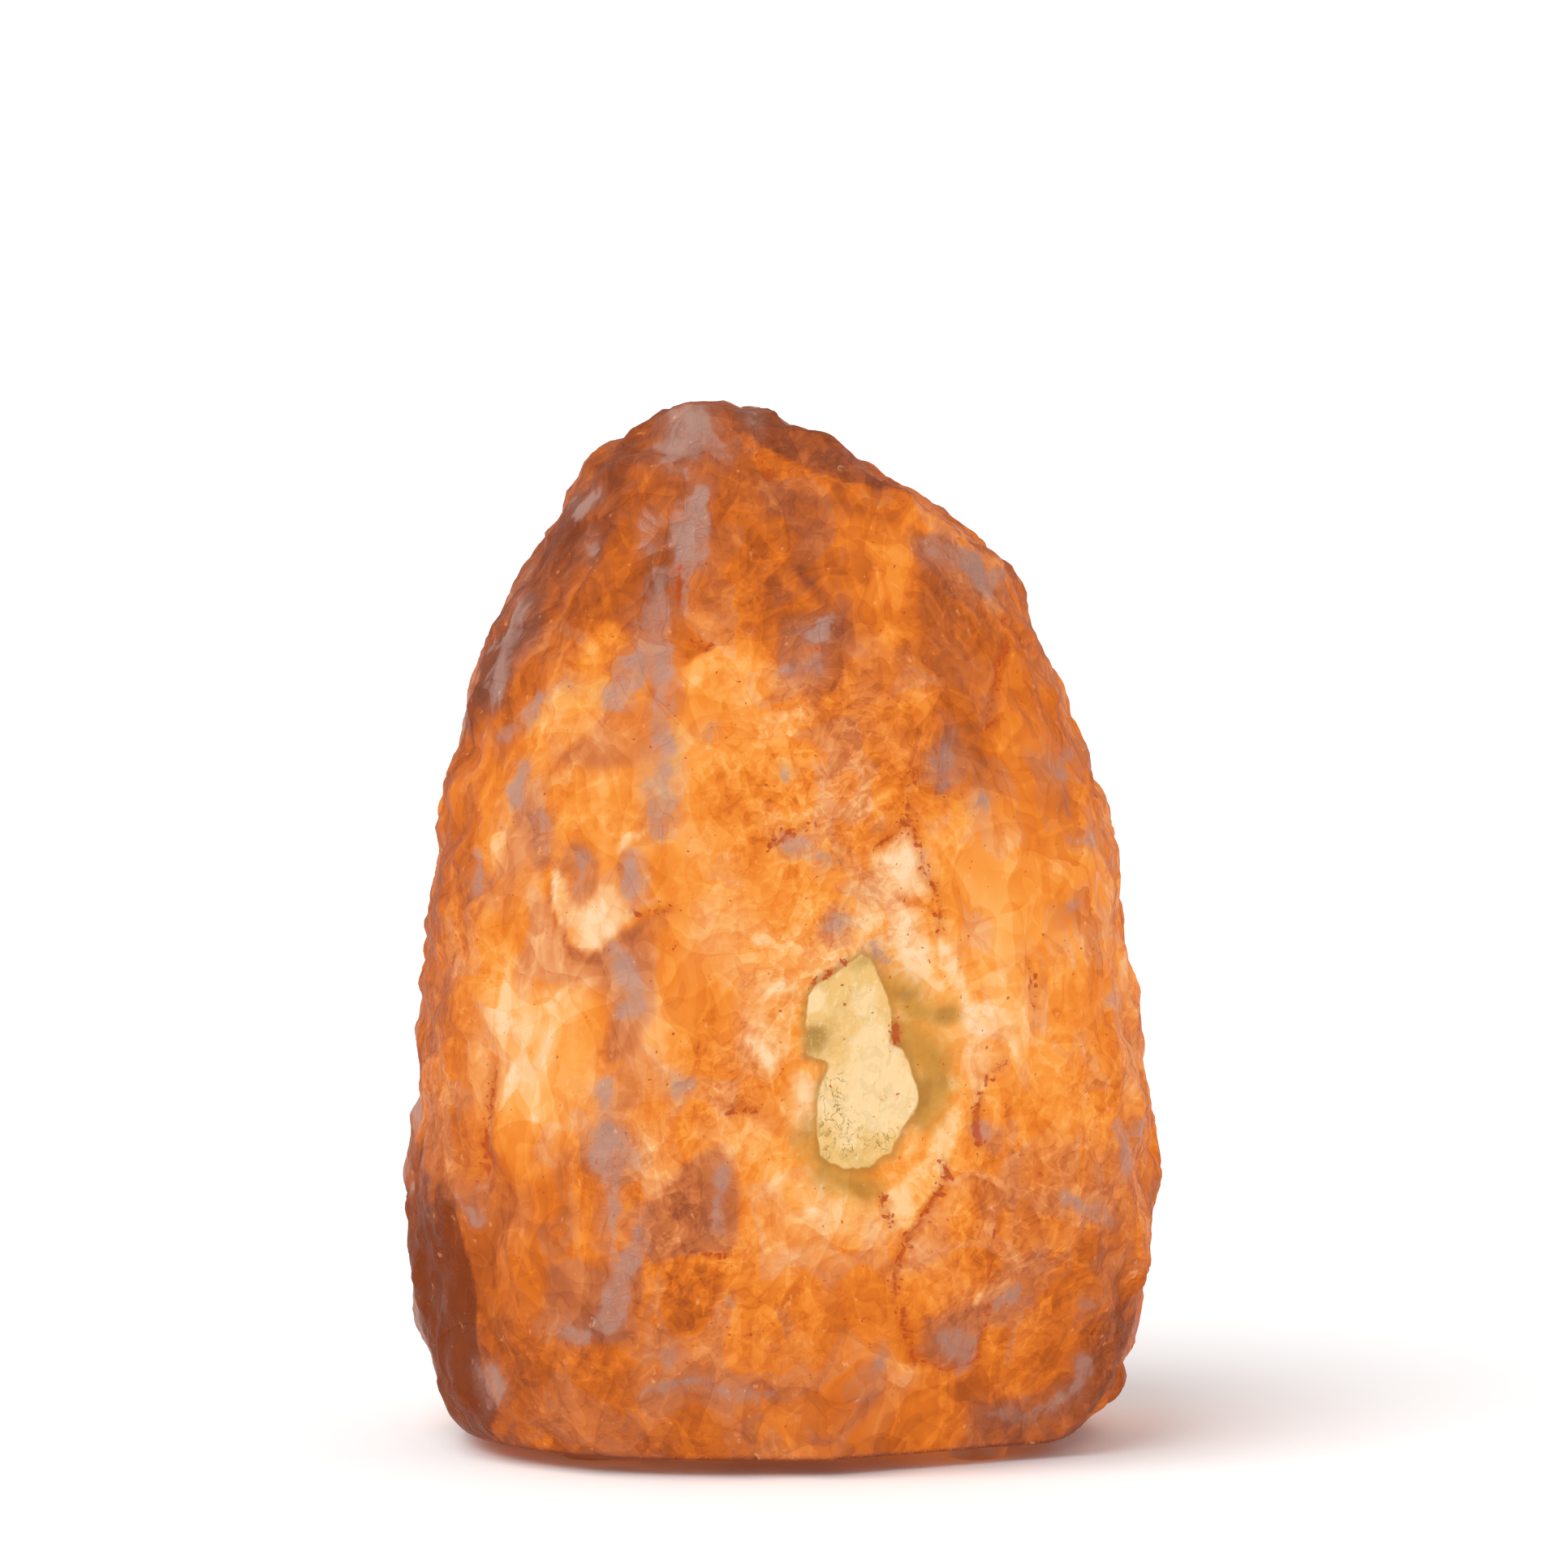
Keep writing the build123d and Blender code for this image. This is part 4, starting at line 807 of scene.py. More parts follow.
def reliefTree():
    # pushes the rock's skin in and out: tilted flakes, small chips, long waves, grain and knobs
    depths = dict.fromkeys(reliefDepths, "NodeSocketFloat")
    inputs = {"Geometry": "NodeSocketGeometry", **depths, "Material": "NodeSocketMaterial"}
    net, given, result = openGeometry("rockRelief", inputs)

    def stored(name, kind):
        return net.add("GeometryNodeInputNamedAttribute", {"Name": name}, data_type=kind).outputs["Attribute"]

    place = stored("rockPlace", "FLOAT_VECTOR")
    outer, lift = stored("outer", "FLOAT"), stored("lift", "FLOAT")
    flakeTilt, flakeLevel = net.flakeCells(place, *bigFlakes)
    chipTilt, chipLevel = net.flakeCells(place, *reliefChips)
    flakes = net.plus(net.times(flakeTilt, 1.6), flakeLevel)
    parts = {
        "Chip Step": net.plus(net.times(chipTilt, 1.4), net.times(chipLevel, 0.7)),
        "Wave Depth": net.minus(net.size(net.swing(place, 19.0, detail=1.0, roughness=0.4)), 0.08),
        "Grain Depth": net.swing(place, 2.6, detail=3.0),
        "Knob Depth": net.swing(place, 10.0, detail=2.0, roughness=0.45),
    }
    depth = net.times(flakes, given["Flake Step"])
    for name, part in parts.items():
        depth = net.gain(part, given[name], depth)
    depth = net.gain(depth, outer, lift)
    normal = net.add("GeometryNodeInputNormal").outputs[0]
    push = net.scaled(normal, net.times(depth, mm))
    move = net.add("GeometryNodeSetPosition", {"Geometry": given["Geometry"], "Offset": push})
    return closeGeometry(net, move.outputs[0], given["Material"], result)


def mergedCopy(name, node):
    mesh = nodes[node].data.copy()
    work = bmesh.new()
    work.from_mesh(mesh)
    bmesh.ops.remove_doubles(work, verts=work.verts, dist=1e-5)
    work.to_mesh(mesh)
    work.free()
    mesh.materials.clear()
    return addObject(name, mesh)


def makeRock(material):
    print("stage: rock")
    rock = mergedCopy("rockSalt", "salt_crystal")
    modifier = rock.modifiers.new("remesh", "REMESH")
    modifier.mode = "VOXEL"
    modifier.voxel_size = rockSettings["voxel"] * mm
    modifier.use_smooth_shade = True
    keepModified(rock)
    mesh = rock.data
    count = len(mesh.vertices)
    points, normals = np.empty(count * 3), np.empty(count * 3)
    mesh.vertices.foreach_get("co", points)
    mesh.vertices.foreach_get("normal", normals)
    points, normals = points.reshape(-1, 3) / mm, normals.reshape(-1, 3)
    place = mesh.attributes.new("rockPlace", "FLOAT_VECTOR", "POINT")
    place.data.foreach_set("vector", points.ravel())
    for name, values in rockFields(points, normals).items():
        mesh.attributes.new(name, "FLOAT", "POINT").data.foreach_set("value", values.astype(np.float32))
    applyTree(rock, reliefTree(), {**reliefDepths, "Material": material})
    rock.data.shade_smooth()
    print("  rock triangles", sum(len(p.vertices) - 2 for p in rock.data.polygons))
    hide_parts("salt_crystal")
    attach(rock, "crystal")


saltLook = {
    # cells with a level and a tilt: width, stretch, warp and shift
    "cells": {
        "flake": bigFlakes,
        "chip": (11.0, (1, 1, 1.7), 0.9, 31.0),
        "crumb": (4.4, (1, 1, 1.4), 0.9, 57.0),
    },
    # flakes that overlap: the way they lie, pitch, width and strength of their drift, its detail,
    # then how they are stretched or shifted
    "scales": {
        "wideScales": ((0.45, 0.2, -0.87), 13.0, 22.0, 9.0, 2.0, None, None),
        "smallScales": ((0.5, 0.1, -0.8), 3.6, 7.0, 6.0, 1.5, None, (17, 5, 9)),
        "slivers": ((-0.85, -0.5, 0.1), 6.0, 10.0, 7.0, 2.0, (1, 1, 3.0), None),
    },
    # ragged patches: width, how much of the noise they leave out, shift, fade towards the middle
    "rims": {
        "brightFlakes": (19.0, 0.53, 0.0, 0.2),
        "darkFlakes": (15.0, 0.54, 23.0, 0.2),
        "brightChips": (8.0, 0.54, 47.0, 0.16),
        "darkChips": (6.5, 0.56, 71.0, 0.16),
        "brightCrumbs": (3.8, 0.54, 97.0, 0.2),
        "darkCrumbs": (3.2, 0.56, 113.0, 0.2),
        "hazyFlakes": (12.0, 0.55, 131.0, 0.2),
    },
    # noise about zero: width, detail, roughness, stretch
    "noises": {
        "fine": (1.3, 4.0, 0.65, None),
        "broad": (12.0, 1.5, 0.4, None),
        "ragged": (6.0, 2.0, 0.45, None),
        "torn": (3.0, 2.0, 0.55, (1, 1, 1.5)),
        "streaks": (5.0, 3.0, 0.45, (1, 1, 4.5)),
    },
    # relief lit through, from the difference at a shift: width, shift, detail, roughness, stretch
    "embossed": {
        "crumbs": (5.5, (0.6, 0.0, -0.7), 1.5, 0.45, None),
        "brushed": (2.6, (0.25, 0.0, -0.2), 3.0, 0.6, (1, 1, 1.8)),
    },
    # where a pattern begins and is full, then what it gives there unless that is 0 and 1
    "ranges": {
        "sparkle": (0.66, 0.74),
        "drawn": (0.35, 0.9),
        "haze": (0.05, 0.8),
        "window": (-0.15, 0.3),
        "windowHeart": (0.2, 0.7),
        "windowFoot": (-0.1, -0.9, 0.0, 0.8),
        "windowDark": (0.02, 0.12, 0.0, 0.5),
        "windowLight": (-0.02, -0.12, 0.0, 0.5),
        # a band just outside the window: painted shadow of its recess edge, in olive brown
        "recessShadeAndOlive": (-1.8, -0.1, 0.0, 0.6),
        "hairWidth": (0.035, 0.005),
        "hairs": (0.3, 0.95),
        "moss": (-3.2, 2.6),
        "mossTone": (-0.02, 0.16),
        "milkCore": (-0.5, 1.3),
        "milkVeil": (-3.6, 2.0),
        "milkCloud": (0.32, 0.62, 0.5, 1.0),
        "broken": (-0.15, -0.03),
        "crack": (0.42, 0.0),
        "crackGlow": (1.8, 0.2),
        "besideCrack": (1.8, 0.3, 0.0, 0.16),
        "specks": (0.72, 0.77),
        "steady": (0.6, 1.0, 1.0, 0.15),
        "milkRelief": (0.0, 1.0, 0.85, 0.45),
        "gloss": (0.0, 1.0, 0.04, 0.35),
        "roughness": (0.2, 0.8, 0.42, 0.62),
    },
    # how strongly each pattern lightens the glow, veils it, frays an edge or raises the skin
    "weights": {
        "light": {
            "flakeLevel": 0.16, "flakeTilt": 0.20, "chipLevel": 0.05, "chipTilt": 0.07, "wideScales": 0.05,
            "smallScales": 0.06, "slivers": 0.05, "brightFlakes": 0.065, "darkFlakes": -0.06,
            "brightChips": 0.045, "darkChips": -0.045, "brightCrumbs": 0.065, "darkCrumbs": -0.065,
            "crumbs": 0.23, "creases": 0.29, "crumbTilt": 0.08, "sparkle": 0.06, "crumbLevel": 0.05,
            "fine": 0.01, "broad": 0.14, "streaks": 0.22, "grazing": -0.18,
        },
        "haze": {"broad": 0.9, "hazyFlakes": 0.35, "streaks": 0.35, "chipLevel": 0.3, "grazing": 0.6},
        "milkEdge": {"ragged": 4.0, "torn": 5.0, "slivers": 0.8, "wideScales": 1.0},
        "height": {
            "crumbs": 1.0, "creases": 1.2, "crumbTilt": 0.5, "chipTilt": 0.8, "streaks": 0.4,
            "wideScales": 0.3, "smallScales": 0.3, "crack": -0.6, "brightFlakes": 0.5, "darkFlakes": -0.5,
            "brightChips": 0.4, "darkChips": -0.4, "brightCrumbs": 0.4, "darkCrumbs": -0.4,
        },
    },
    "colours": {
        # what the lit salt shows from dim to bright, clear and hazy
        "clear": [
            (0.00, (0.04, 0.007, 0.002)),
            (0.14, (0.13, 0.02, 0.005)),
            (0.28, (0.28, 0.052, 0.008)),
            (0.42, (0.47, 0.096, 0.011)),
            (0.54, (0.67, 0.152, 0.013)),
            (0.65, (0.84, 0.23, 0.023)),
            (0.75, (0.92, 0.32, 0.048)),
            (0.85, (0.95, 0.44, 0.11)),
            (0.95, (0.97, 0.6, 0.27)),
        ],
        "hazy": [
            (0.00, (0.05, 0.018, 0.012)),
            (0.14, (0.12, 0.033, 0.02)),
            (0.28, (0.24, 0.058, 0.024)),
            (0.42, (0.4, 0.1, 0.034)),
            (0.54, (0.56, 0.158, 0.048)),
            (0.65, (0.72, 0.245, 0.08)),
            (0.75, (0.84, 0.36, 0.14)),
            (0.85, (0.93, 0.52, 0.23)),
            (0.95, (0.96, 0.68, 0.4)),
        ],
        "clearBody": (0.045, 0.012, 0.003, 1),
        "milkBody": (0.165, 0.126, 0.11, 1),
        "milkGlow": (0.19, 0.045, 0.013, 1),
        "window": (0.95, 0.69, 0.36, 1),
        "windowShade": (0.24, 0.17, 0.03, 1),
        "windowRim": (0.85, 0.54, 0.19, 1),
        "moss": (0.5, 0.25, 0.042, 1),
        "mossBrown": (0.36, 0.185, 0.036, 1),
        "crack": (0.46, 0.062, 0.006, 1),
        # the colour of the painted glints
        "glint": (0.86, 0.42, 0.2, 1),
        "windowLight": (1.0, 0.8, 0.46, 1),
        "crackBody": (0.05, 0.02, 0.014, 1),
    },
}


def saltPatterns(net, place):
    # the patterns of broken salt, each by its name
    parts = {}

    def spread(stretch):
        return net.stretched(place, stretch) if stretch else place

    for name, cells in saltLook["cells"].items():
        parts[name + "Tilt"], parts[name + "Level"] = net.flakeCells(place, *cells)
    for name, (way, pitch, size, wander, detail, stretch, shift) in saltLook["scales"].items():
        spot = net.vector("ADD", place, shift) if shift else spread(stretch)
        parts[name] = net.scales(spot, way, pitch, size, wander, detail)
    slanted = spread((1, 1, 1.4))
    for name, rim in saltLook["rims"].items():
        parts[name] = net.flakeRim(place if "Crumbs" in name else slanted, *rim)
    for name, (size, detail, roughness, stretch) in saltLook["noises"].items():
        parts[name] = net.swing(spread(stretch), size, detail=detail, roughness=roughness)
    for name, (size, shift, detail, roughness, stretch) in saltLook["embossed"].items():
        parts[name] = net.emboss(spread(stretch), size, shift, detail, roughness)
    parts["creases"] = net.creased(spread((1.3, 1.3, 0.8)), 4.5, (0.35, 0.0, -0.35))
    parts["cloud"] = net.noise(spread((1, 1, 2.2)), 5.0, detail=2.5)
    # tiny bright specks: painted glints
    glintNoise = net.noise(spread((1, 1, 1.6)), 1.9, detail=3.0, roughness=0.6)
    parts["sparkle"] = shaped(net, "sparkle", glintNoise)
    # towards the silhouette, grazing gives the glow painted shade and the haze a painted greyish sheen
    parts["facing"] = net.add("ShaderNodeLayerWeight", {"Blend": 0.35}).outputs["Facing"]
    parts["grazing"] = net.calc("POWER", parts["facing"], 2.0)
    return parts


def shaped(net, name, value):
    return net.remap(value, *saltLook["ranges"][name])


def clearGlow(net, parts, stored):
    # the bulb's light through the clear salt, dim to bright and clear to hazy
    weights, colours = saltLook["weights"], saltLook["colours"]
    rough, drawn = stored("rough"), shaped(net, "drawn", stored("fibre"))
    backShare = net.minus(1.0, net.times(stored("front"), 0.5))
    limits = {"flakeLevel": backShare, "flakeTilt": backShare, "slivers": drawn, "streaks": drawn}
    for name in ("smallScales", "brightCrumbs", "darkCrumbs", "crumbs", "creases", "crumbTilt", "crumbLevel"):
        limits[name] = rough
    level = net.weighted(parts, weights["light"], stored("light"), limits)
    level = net.calc("SMOOTH_MAX", level, 0.18, 0.2)
    share = net.calc("DIVIDE", level, 1.0, clamp=True)
    haze = shaped(net, "haze", net.weighted(parts, weights["haze"], stored("haze"), {}))
    return net.mix(haze, net.ramp(share, colours["clear"]), net.ramp(share, colours["hazy"]))


def windowPane(net, place, parts, stored):
    # the clear yellow window: its cream heart, green foot and fine green hairs
    colours, brushed = saltLook["colours"], parts["brushed"]
    heart = net.gain(parts["ragged"], 1.6, stored("core"))
    coreMask = net.gain(parts["brightCrumbs"], 0.25, shaped(net, "windowHeart", heart), clamp=True)
    pane = net.mix(coreMask, colours["windowRim"], colours["window"])
    pane = net.mix(shaped(net, "windowFoot", heart), pane, colours["mossBrown"])
    pane = net.mix(net.times(parts["darkCrumbs"], 0.12), pane, colours["windowShade"])
    wound = net.swing(net.stretched(place, (1, 1, 1.4)), 2.1, detail=3.0, roughness=0.6, distortion=0.8)
    strand = shaped(net, "hairWidth", net.size(wound))
    thin = shaped(net, "hairs", net.plus(stored("hair"), net.times(parts["torn"], 2.5)))
    hairs = net.times(net.times(strand, thin), 0.8)
    pane = net.mix(shaped(net, "windowDark", brushed), pane, colours["windowRim"])
    pane = net.mix(shaped(net, "windowLight", brushed), pane, colours["windowLight"])
    return net.mix(hairs, pane, colours["windowShade"])


def withWindow(net, place, parts, stored, glow):
    # the window and the olive shade about it, with a band of painted shadow at the window's recess edge, laid
    # over the glow
    colours, ragged = saltLook["colours"], parts["ragged"]
    mossMask = shaped(net, "moss", net.gain(ragged, 6.0, stored("moss")))
    mossTone = net.mix(shaped(net, "mossTone", ragged), colours["moss"], colours["mossBrown"])
    glow = net.mix(net.times(mossMask, 0.8), glow, mossTone)
    edge = net.gain(parts["torn"], 1.6, stored("window"))
    # olive-brown band just outside the window: painted shadow of the recess edge, and the olive tone of the
    # salt about it
    glow = net.mix(shaped(net, "recessShadeAndOlive", edge), glow, colours["mossBrown"])
    return net.mix(shaped(net, "window", edge), glow, windowPane(net, place, parts, stored))


def milkShare(net, parts, stored):
    # milky salt: opaque, so it shows the room's light instead of the bulb's
    edge = net.weighted(parts, saltLook["weights"]["milkEdge"], net.plus(stored("milk"), 0.4), {})
    veil = shaped(net, "milkVeil", net.gain(parts["broad"], 5.0, stored("milk")))
    milk = net.gain(veil, 0.4, net.times(shaped(net, "milkCore", edge), 0.6))
    return net.times(milk, shaped(net, "milkCloud", parts["cloud"]))


def crackShares(net, place, parts, stored):
    # the cracks, the red light beside them and the red specks
    edge = net.gain(parts["fine"], 1.1, stored("crack"))
    edge = net.gain(net.size(parts["ragged"]), 2.5, edge)
    broken = shaped(net, "broken", parts["torn"])
    crack = net.times(shaped(net, "crack", edge), broken)
    crackGlow = net.times(shaped(net, "crackGlow", edge), broken)
    specks = net.plus(net.noise(place, 1.1, detail=2.0, roughness=0.4), shaped(net, "besideCrack", edge))
    return crack, crackGlow, net.times(shaped(net, "specks", specks), 0.85)


def saltMaterial():
    material, net, shader = newMaterial("litRockSalt")

    def stored(name, output="Fac"):
        return net.add("ShaderNodeAttribute", attribute_name=name).outputs[output]

    colours = saltLook["colours"]
    place = stored("rockPlace", "Vector")
    parts = saltPatterns(net, place)
    milk = milkShare(net, parts, stored)
    parts["crack"], crackGlow, speckle = crackShares(net, place, parts, stored)
    lit = withWindow(net, place, parts, stored, clearGlow(net, parts, stored))
    layers = ((milk, 0.8, "milkGlow"), (crackGlow, 0.3, "crack"), (parts["crack"], 0.8, "crack"))
    for part, strength, colour in layers:
        lit = net.mix(net.times(part, strength), lit, colours[colour])
    lit = net.mix(speckle, lit, colours["crack"])
    # the painted glints, paler than the glow
    lit = net.mix(net.times(parts["sparkle"], 0.35), lit, colours["glint"])
    body = net.mix(milk, colours["clearBody"], colours["milkBody"])
    body = net.mix(net.calc("MAXIMUM", parts["crack"], speckle), body, colours["crackBody"])

    limits = dict.fromkeys(("smallScales", "brightCrumbs", "darkCrumbs"), stored("rough"))
    height = net.weighted(parts, saltLook["weights"]["height"], net.times(parts["fine"], 0.3), limits)
    # the relief is calmer where the surface turns away, and on the milky salt
    strength = net.times(shaped(net, "steady", parts["facing"]), shaped(net, "milkRelief", milk))
    bump = net.add("ShaderNodeBump", {"Strength": strength, "Distance": 0.9 * mm, "Height": height})
    net.feedAll(shader, {
        "Base Color": body, "Emission Color": lit, "Emission Strength": 1.0, "IOR": 1.544,
        "Specular IOR Level": shaped(net, "gloss", milk),
        "Roughness": shaped(net, "roughness", parts["cloud"]), "Normal": bump.outputs[0],
    })
    return material


def wearGroup():
    # mottling, fine scratches and a small relief that several materials share
    number = "NodeSocketFloat"
    inputs, outputs = ("Mottle Size", "Scratch Size"), ("Mottle", "Scratches", "Height")
    net, given, result = openGroup("surfaceWear", "ShaderNodeTree", dict.fromkeys(inputs, number),
                                   dict.fromkeys(outputs, number))
    place = net.add("ShaderNodeTexCoord").outputs["Object"]
    mottled = net.scaled(place, net.calc("DIVIDE", 1.0, given["Mottle Size"]))
    mottle = net.noise(mottled, 1.0, detail=4.0)
    scratched = net.scaled(place, net.calc("DIVIDE", 1.0, given["Scratch Size"]))
    scratches = net.noise(net.stretched(scratched, (1, 1, 9)), 1.0, detail=2.0, distortion=0.3)
    net.feed(result["Mottle"], mottle)
    net.feed(result["Scratches"], net.remap(scratches, 0.52, 0.72))
    net.feed(result["Height"], net.gain(scratches, 0.5, mottle))
    return net.tree


def wornMaterial(name, group, dark, light, metallic, smooth, worn, mottleSize, scratchSize, depth, coat):
    # a plain finish with mottled colour, scratches that catch the light and a slight relief
    material, net, shader = newMaterial(name)
    sizes = {"Mottle Size": mottleSize * mm, "Scratch Size": scratchSize * mm}
    wear = net.add("ShaderNodeGroup", node_tree=group)
    net.feedAll(wear, sizes)
    bumped = {"Strength": 0.6, "Distance": depth * mm, "Height": wear.outputs["Height"]}
    bump = net.add("ShaderNodeBump", bumped)
    net.feedAll(shader, {
        "Base Color": net.mix(net.remap(wear.outputs["Mottle"], 0.1, 0.9), (*dark, 1), (*light, 1)),
        "Metallic": metallic, "Coat Weight": coat, "Normal": bump.outputs[0],
        "Roughness": net.remap(wear.outputs["Scratches"], 0.0, 1.0, smooth, worn, kind="LINEAR"),
    })
    return material


def glassMaterial(name, group, tint, smooth):
    material, net, shader = newMaterial(name)
    wear = net.add("ShaderNodeGroup", node_tree=group)
    net.feedAll(wear, {"Mottle Size": 9 * mm, "Scratch Size": 1.5 * mm})
    mottle = wear.outputs["Mottle"]
    net.feedAll(shader, {
        "Base Color": net.mix(mottle, (1, 1, 1, 1), (*tint, 1)),
        "Roughness": net.remap(mottle, 0.4, 0.7, smooth, smooth + 0.08),
        "Transmission Weight": 1.0, "IOR": 1.5,
    })
    return material


# dark and light tone, metal, smooth and scratched roughness, then in millimetres the width of the
# mottling and of the scratches and the relief, then the clear coat
finishes = {
    "creamHolder": ((0.70, 0.66, 0.56), (0.80, 0.77, 0.68), 0.0, 0.28, 0.5, 6.0, 0.7, 0.06, 0.2),
    "creamGland": ((0.66, 0.63, 0.55), (0.76, 0.74, 0.66), 0.0, 0.4, 0.6, 4.0, 0.5, 0.08, 0.0),
    "glazedCeramic": ((0.72, 0.70, 0.63), (0.84, 0.82, 0.77), 0.0, 0.14, 0.3, 2.0, 0.8, 0.08, 0.5),
    "rolledBrass": ((0.52, 0.34, 0.11), (0.80, 0.58, 0.24), 1.0, 0.22, 0.46, 3.0, 0.35, 0.04, 0.0),
    "springSteel": ((0.30, 0.29, 0.27), (0.55, 0.54, 0.52), 1.0, 0.24, 0.5, 5.0, 0.3, 0.03, 0.0),
    "platedScrew": ((0.50, 0.50, 0.48), (0.72, 0.72, 0.70), 1.0, 0.16, 0.36, 2.0, 0.25, 0.02, 0.0),
    "nickelCap": ((0.50, 0.47, 0.42), (0.72, 0.70, 0.66), 1.0, 0.2, 0.42, 4.0, 0.4, 0.03, 0.0),
    "greySolder": ((0.34, 0.34, 0.34), (0.60, 0.60, 0.60), 1.0, 0.3, 0.6, 1.2, 0.4, 0.2, 0.0),
    "blackGlass": ((0.006, 0.006, 0.010), (0.02, 0.02, 0.03), 0.0, 0.06, 0.2, 2.0, 0.6, 0.02, 0.6),
    "nickelWire": ((0.42, 0.40, 0.37), (0.60, 0.58, 0.54), 1.0, 0.25, 0.4, 1.0, 0.2, 0.01, 0.0),
}
# tint and roughness
glassFinishes = {
    "clearRubber": ((0.93, 0.90, 0.84), 0.3),
    "clearGlass": ((1.0, 0.97, 0.92), 0.0),
    "stemGlass": ((0.93, 0.95, 0.93), 0.05),
}
finishedNodes = {
    "clearRubber": ["foot_front_left", "foot_front_right", "foot_rear_left", "foot_rear_right"],
    "creamHolder": ["holder_cap", "holder_shell"],
    "creamGland": ["cord_grip"],
    "glazedCeramic": ["contact_block"],
    "rolledBrass": ["thread_sleeve", "centre_contact", "contact_rivets", "live_terminal", "neutral_terminal"],
    "springSteel": ["spring_clip", "lock_washer"],
    "platedScrew": ["grip_screw", "terminal_screws"],
    "nickelCap": ["bulb_cap"],
    "greySolder": ["bulb_contact"],
    "blackGlass": ["bulb_insulator"],
    "nickelWire": ["bulb_leads", "filament_support"],
    "clearGlass": ["bulb_globe"],
    "stemGlass": ["bulb_stem"],
}


def dressNodes():
    print("stage: finishes of the inner pieces")
    wear = wearGroup()
    for finish, names in finishedNodes.items():
        if finish in glassFinishes:
            material = glassMaterial(finish, wear, *glassFinishes[finish])
        else:
            material = wornMaterial(finish, wear, *finishes[finish])
        for name in names:
            nodes[name].data.materials.clear()
            nodes[name].data.materials.append(material)


# the filament: a coiled wire in a bow between the leads, white hot in the middle, redder at its ends
filamentSettings = {
    "turns": 46,
    "steps": 12,  # of one turn
    "wire": 0.07,
    "coil": 0.26,
    "sides": 6,
    "hot": (1.0, 0.72, 0.38, 1),
    "cool": (0.9, 0.22, 0.04, 1),
    "cooling": (3.0, 6.5),  # how far from the middle it begins and ends, in mm
    "strength": 60.0,
}


def filamentMaterial():
    setting = filamentSettings
    material, net, shader = newMaterial("hotTungsten")
    place = net.add("ShaderNodeTexCoord").outputs["Object"]
    across = net.add("ShaderNodeSeparateXYZ", {0: place}).outputs[0]
    cool = net.remap(net.size(across), *(reach * mm for reach in setting["cooling"]))
    colour = net.mix(cool, setting["hot"], setting["cool"])
    net.feedAll(shader, {"Emission Color": colour, "Emission Strength": setting["strength"],
                         "Base Color": colour, "Metallic": 1.0})
    return material


def coilTree():
    # a helix wound about an arc between the two leads
    lengths = ("Half Span", "Bow", "Level", "Turns", "Coil Radius", "Wire Radius")
    inputs = {**dict.fromkeys(lengths, "NodeSocketFloat"), "Points": "NodeSocketInt",
              "Material": "NodeSocketMaterial"}
    net, given, result = openGeometry("filamentCoil", inputs)
    line = net.add("GeometryNodeCurvePrimitiveLine").outputs[0]
    finer = net.add("GeometryNodeResampleCurve", {"Curve": line, "Count": given["Points"]})
    index = net.add("GeometryNodeInputIndex").outputs[0]
    share = net.calc("DIVIDE", index, net.minus(given["Points"], 1.0))
    across = net.minus(net.times(share, 2.0), 1.0)
    angle = net.times(net.times(share, given["Turns"]), math.tau)
    bow = net.minus(1.0, net.times(across, across))
    out = net.times(net.calc("COSINE", angle), given["Coil Radius"])
    up = net.times(net.calc("SINE", angle), given["Coil Radius"])
    x = net.times(across, given["Half Span"])
    y = net.minus(out, net.times(bow, given["Bow"]))
    spot = net.add("ShaderNodeCombineXYZ", {0: x, 1: y, 2: net.plus(up, given["Level"])})
    move = net.add("GeometryNodeSetPosition", {"Geometry": finer.outputs[0], "Position": spot.outputs[0]})
    ring = net.add("GeometryNodeCurvePrimitiveCircle",
                   {"Resolution": filamentSettings["sides"], "Radius": given["Wire Radius"]})
    wire = net.add("GeometryNodeCurveToMesh",
                   {"Curve": move.outputs[0], "Profile Curve": ring.outputs[0], "Fill Caps": True})
    return closeGeometry(net, wire.outputs[0], given["Material"], result)


def makeFilament(material):
    print("stage: filament")
    setting = filamentSettings
    low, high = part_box("filament")
    radius = (high.z - low.z) / 2
    coil = addObject("filamentCoil", bpy.data.meshes.new("filamentCoil"))
    applyTree(coil, coilTree(), {
        "Half Span": (high.x - low.x) / 2 - radius, "Bow": high.y - low.y - 2 * radius,
        "Level": (low.z + high.z) / 2, "Turns": float(setting["turns"]),
        "Coil Radius": setting["coil"] * mm, "Wire Radius": setting["wire"] * mm,
        "Points": setting["turns"] * setting["steps"], "Material": material,
    })
    coil.data.shade_smooth()
    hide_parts("filament")
    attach(coil, "bulb")


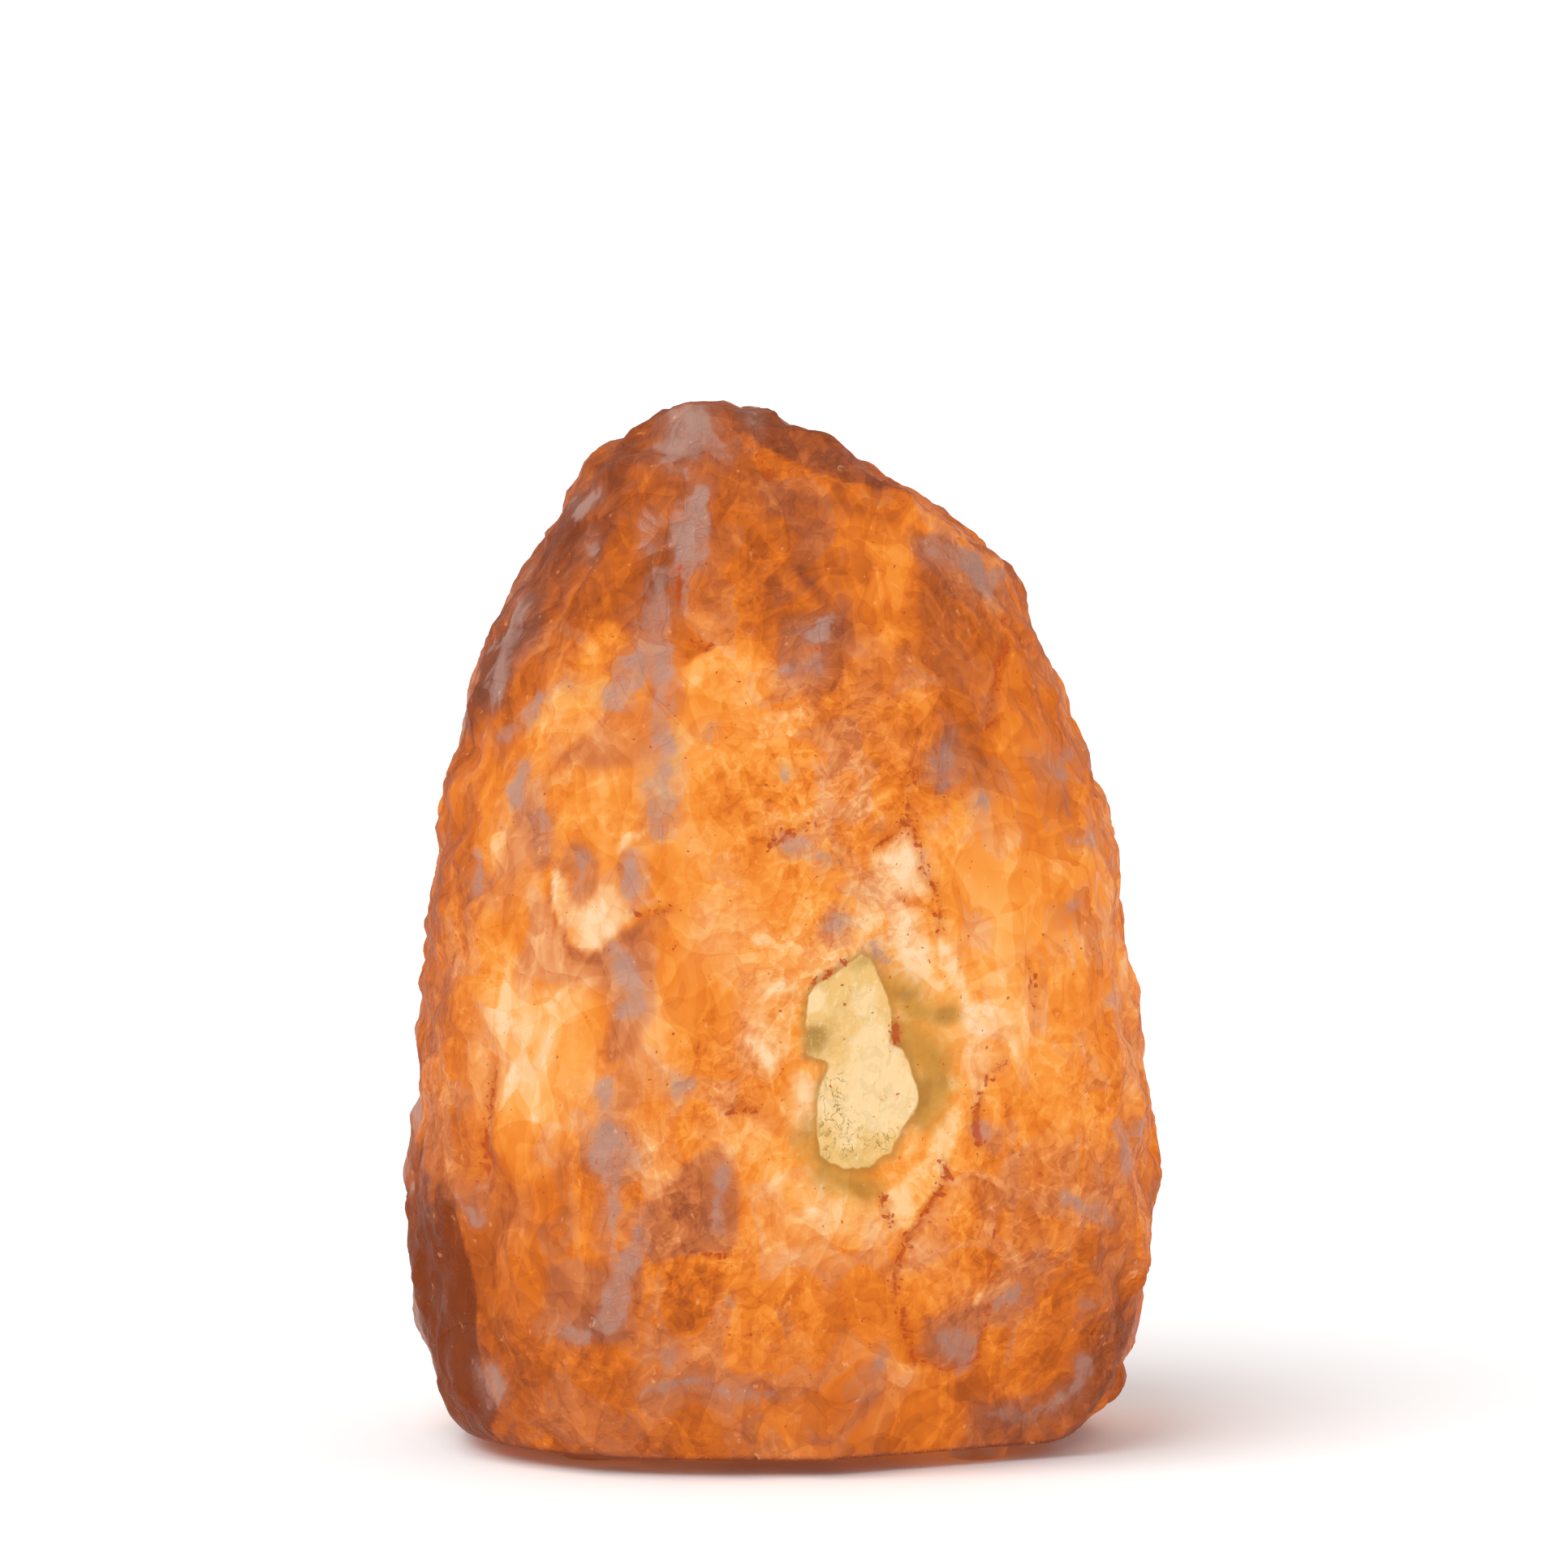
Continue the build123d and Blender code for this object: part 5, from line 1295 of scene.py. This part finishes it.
stageSettings = {
    "floorReach": 30,
    "floorTones": ((0.93, 0.93, 0.93, 1), (0.95, 0.95, 0.95, 1)),
    "room": 0.74,
    "key": 2.0,
    "keySoftness": 50.0,  # degrees
    "keyFrom": (-0.7, -0.8, 1.3),
}


def makeFloor():
    work = bmesh.new()
    bmesh.ops.create_grid(work, x_segments=2, y_segments=2, size=stageSettings["floorReach"])
    mesh = bpy.data.meshes.new("floor")
    work.to_mesh(mesh)
    work.free()
    floor = addObject("floor", mesh)
    material, net, shader = newMaterial("paleFloor")
    place = net.add("ShaderNodeTexCoord").outputs["Object"]
    shade = net.mix(net.noise(place, 0.4), *stageSettings["floorTones"])
    net.feedAll(shader, {"Base Color": shade, "Roughness": 0.9, "Specular IOR Level": 0.0})
    mesh.materials.append(material)


def makeLights():
    world = bpy.data.worlds.new("studio")
    world.use_nodes = True
    background = next(n for n in world.node_tree.nodes if n.type == "BACKGROUND")
    background.inputs["Color"].default_value = (1.0, 1.0, 1.0, 1)
    background.inputs["Strength"].default_value = stageSettings["room"]
    bpy.context.scene.world = world
    sun = bpy.data.lights.new("softKey", "SUN")
    sun.energy = stageSettings["key"]
    sun.angle = math.radians(stageSettings["keySoftness"])
    aim = -Vector(stageSettings["keyFrom"])
    addObject("softKey", sun).rotation_euler = aim.to_track_quat("-Z", "Y").to_euler()


def makeCamera():
    camera = bpy.data.cameras.new("camera")
    camera.sensor_width = viewSettings["sensor"]
    camera.lens = viewSettings["sensor"] * viewSettings["distance"] / viewSettings["frameWidth"]
    camera.clip_end = 100
    piece = addObject("camera", camera)
    aim = Vector((viewSettings["aimAcross"], 0, viewSettings["aimHeight"]))
    piece.location = aim + viewSettings["distance"] * Vector((0, -math.cos(viewTilt), math.sin(viewTilt)))
    piece.rotation_euler = (aim - piece.location).to_track_quat("-Z", "Y").to_euler()
    bpy.context.scene.camera = piece
    bpy.context.scene.view_settings.view_transform = "Standard"


print("stage: floor, lights and camera")
makeFloor()
makeLights()
makeCamera()
makeRock(saltMaterial())
dressNodes()
makeFilament(filamentMaterial())
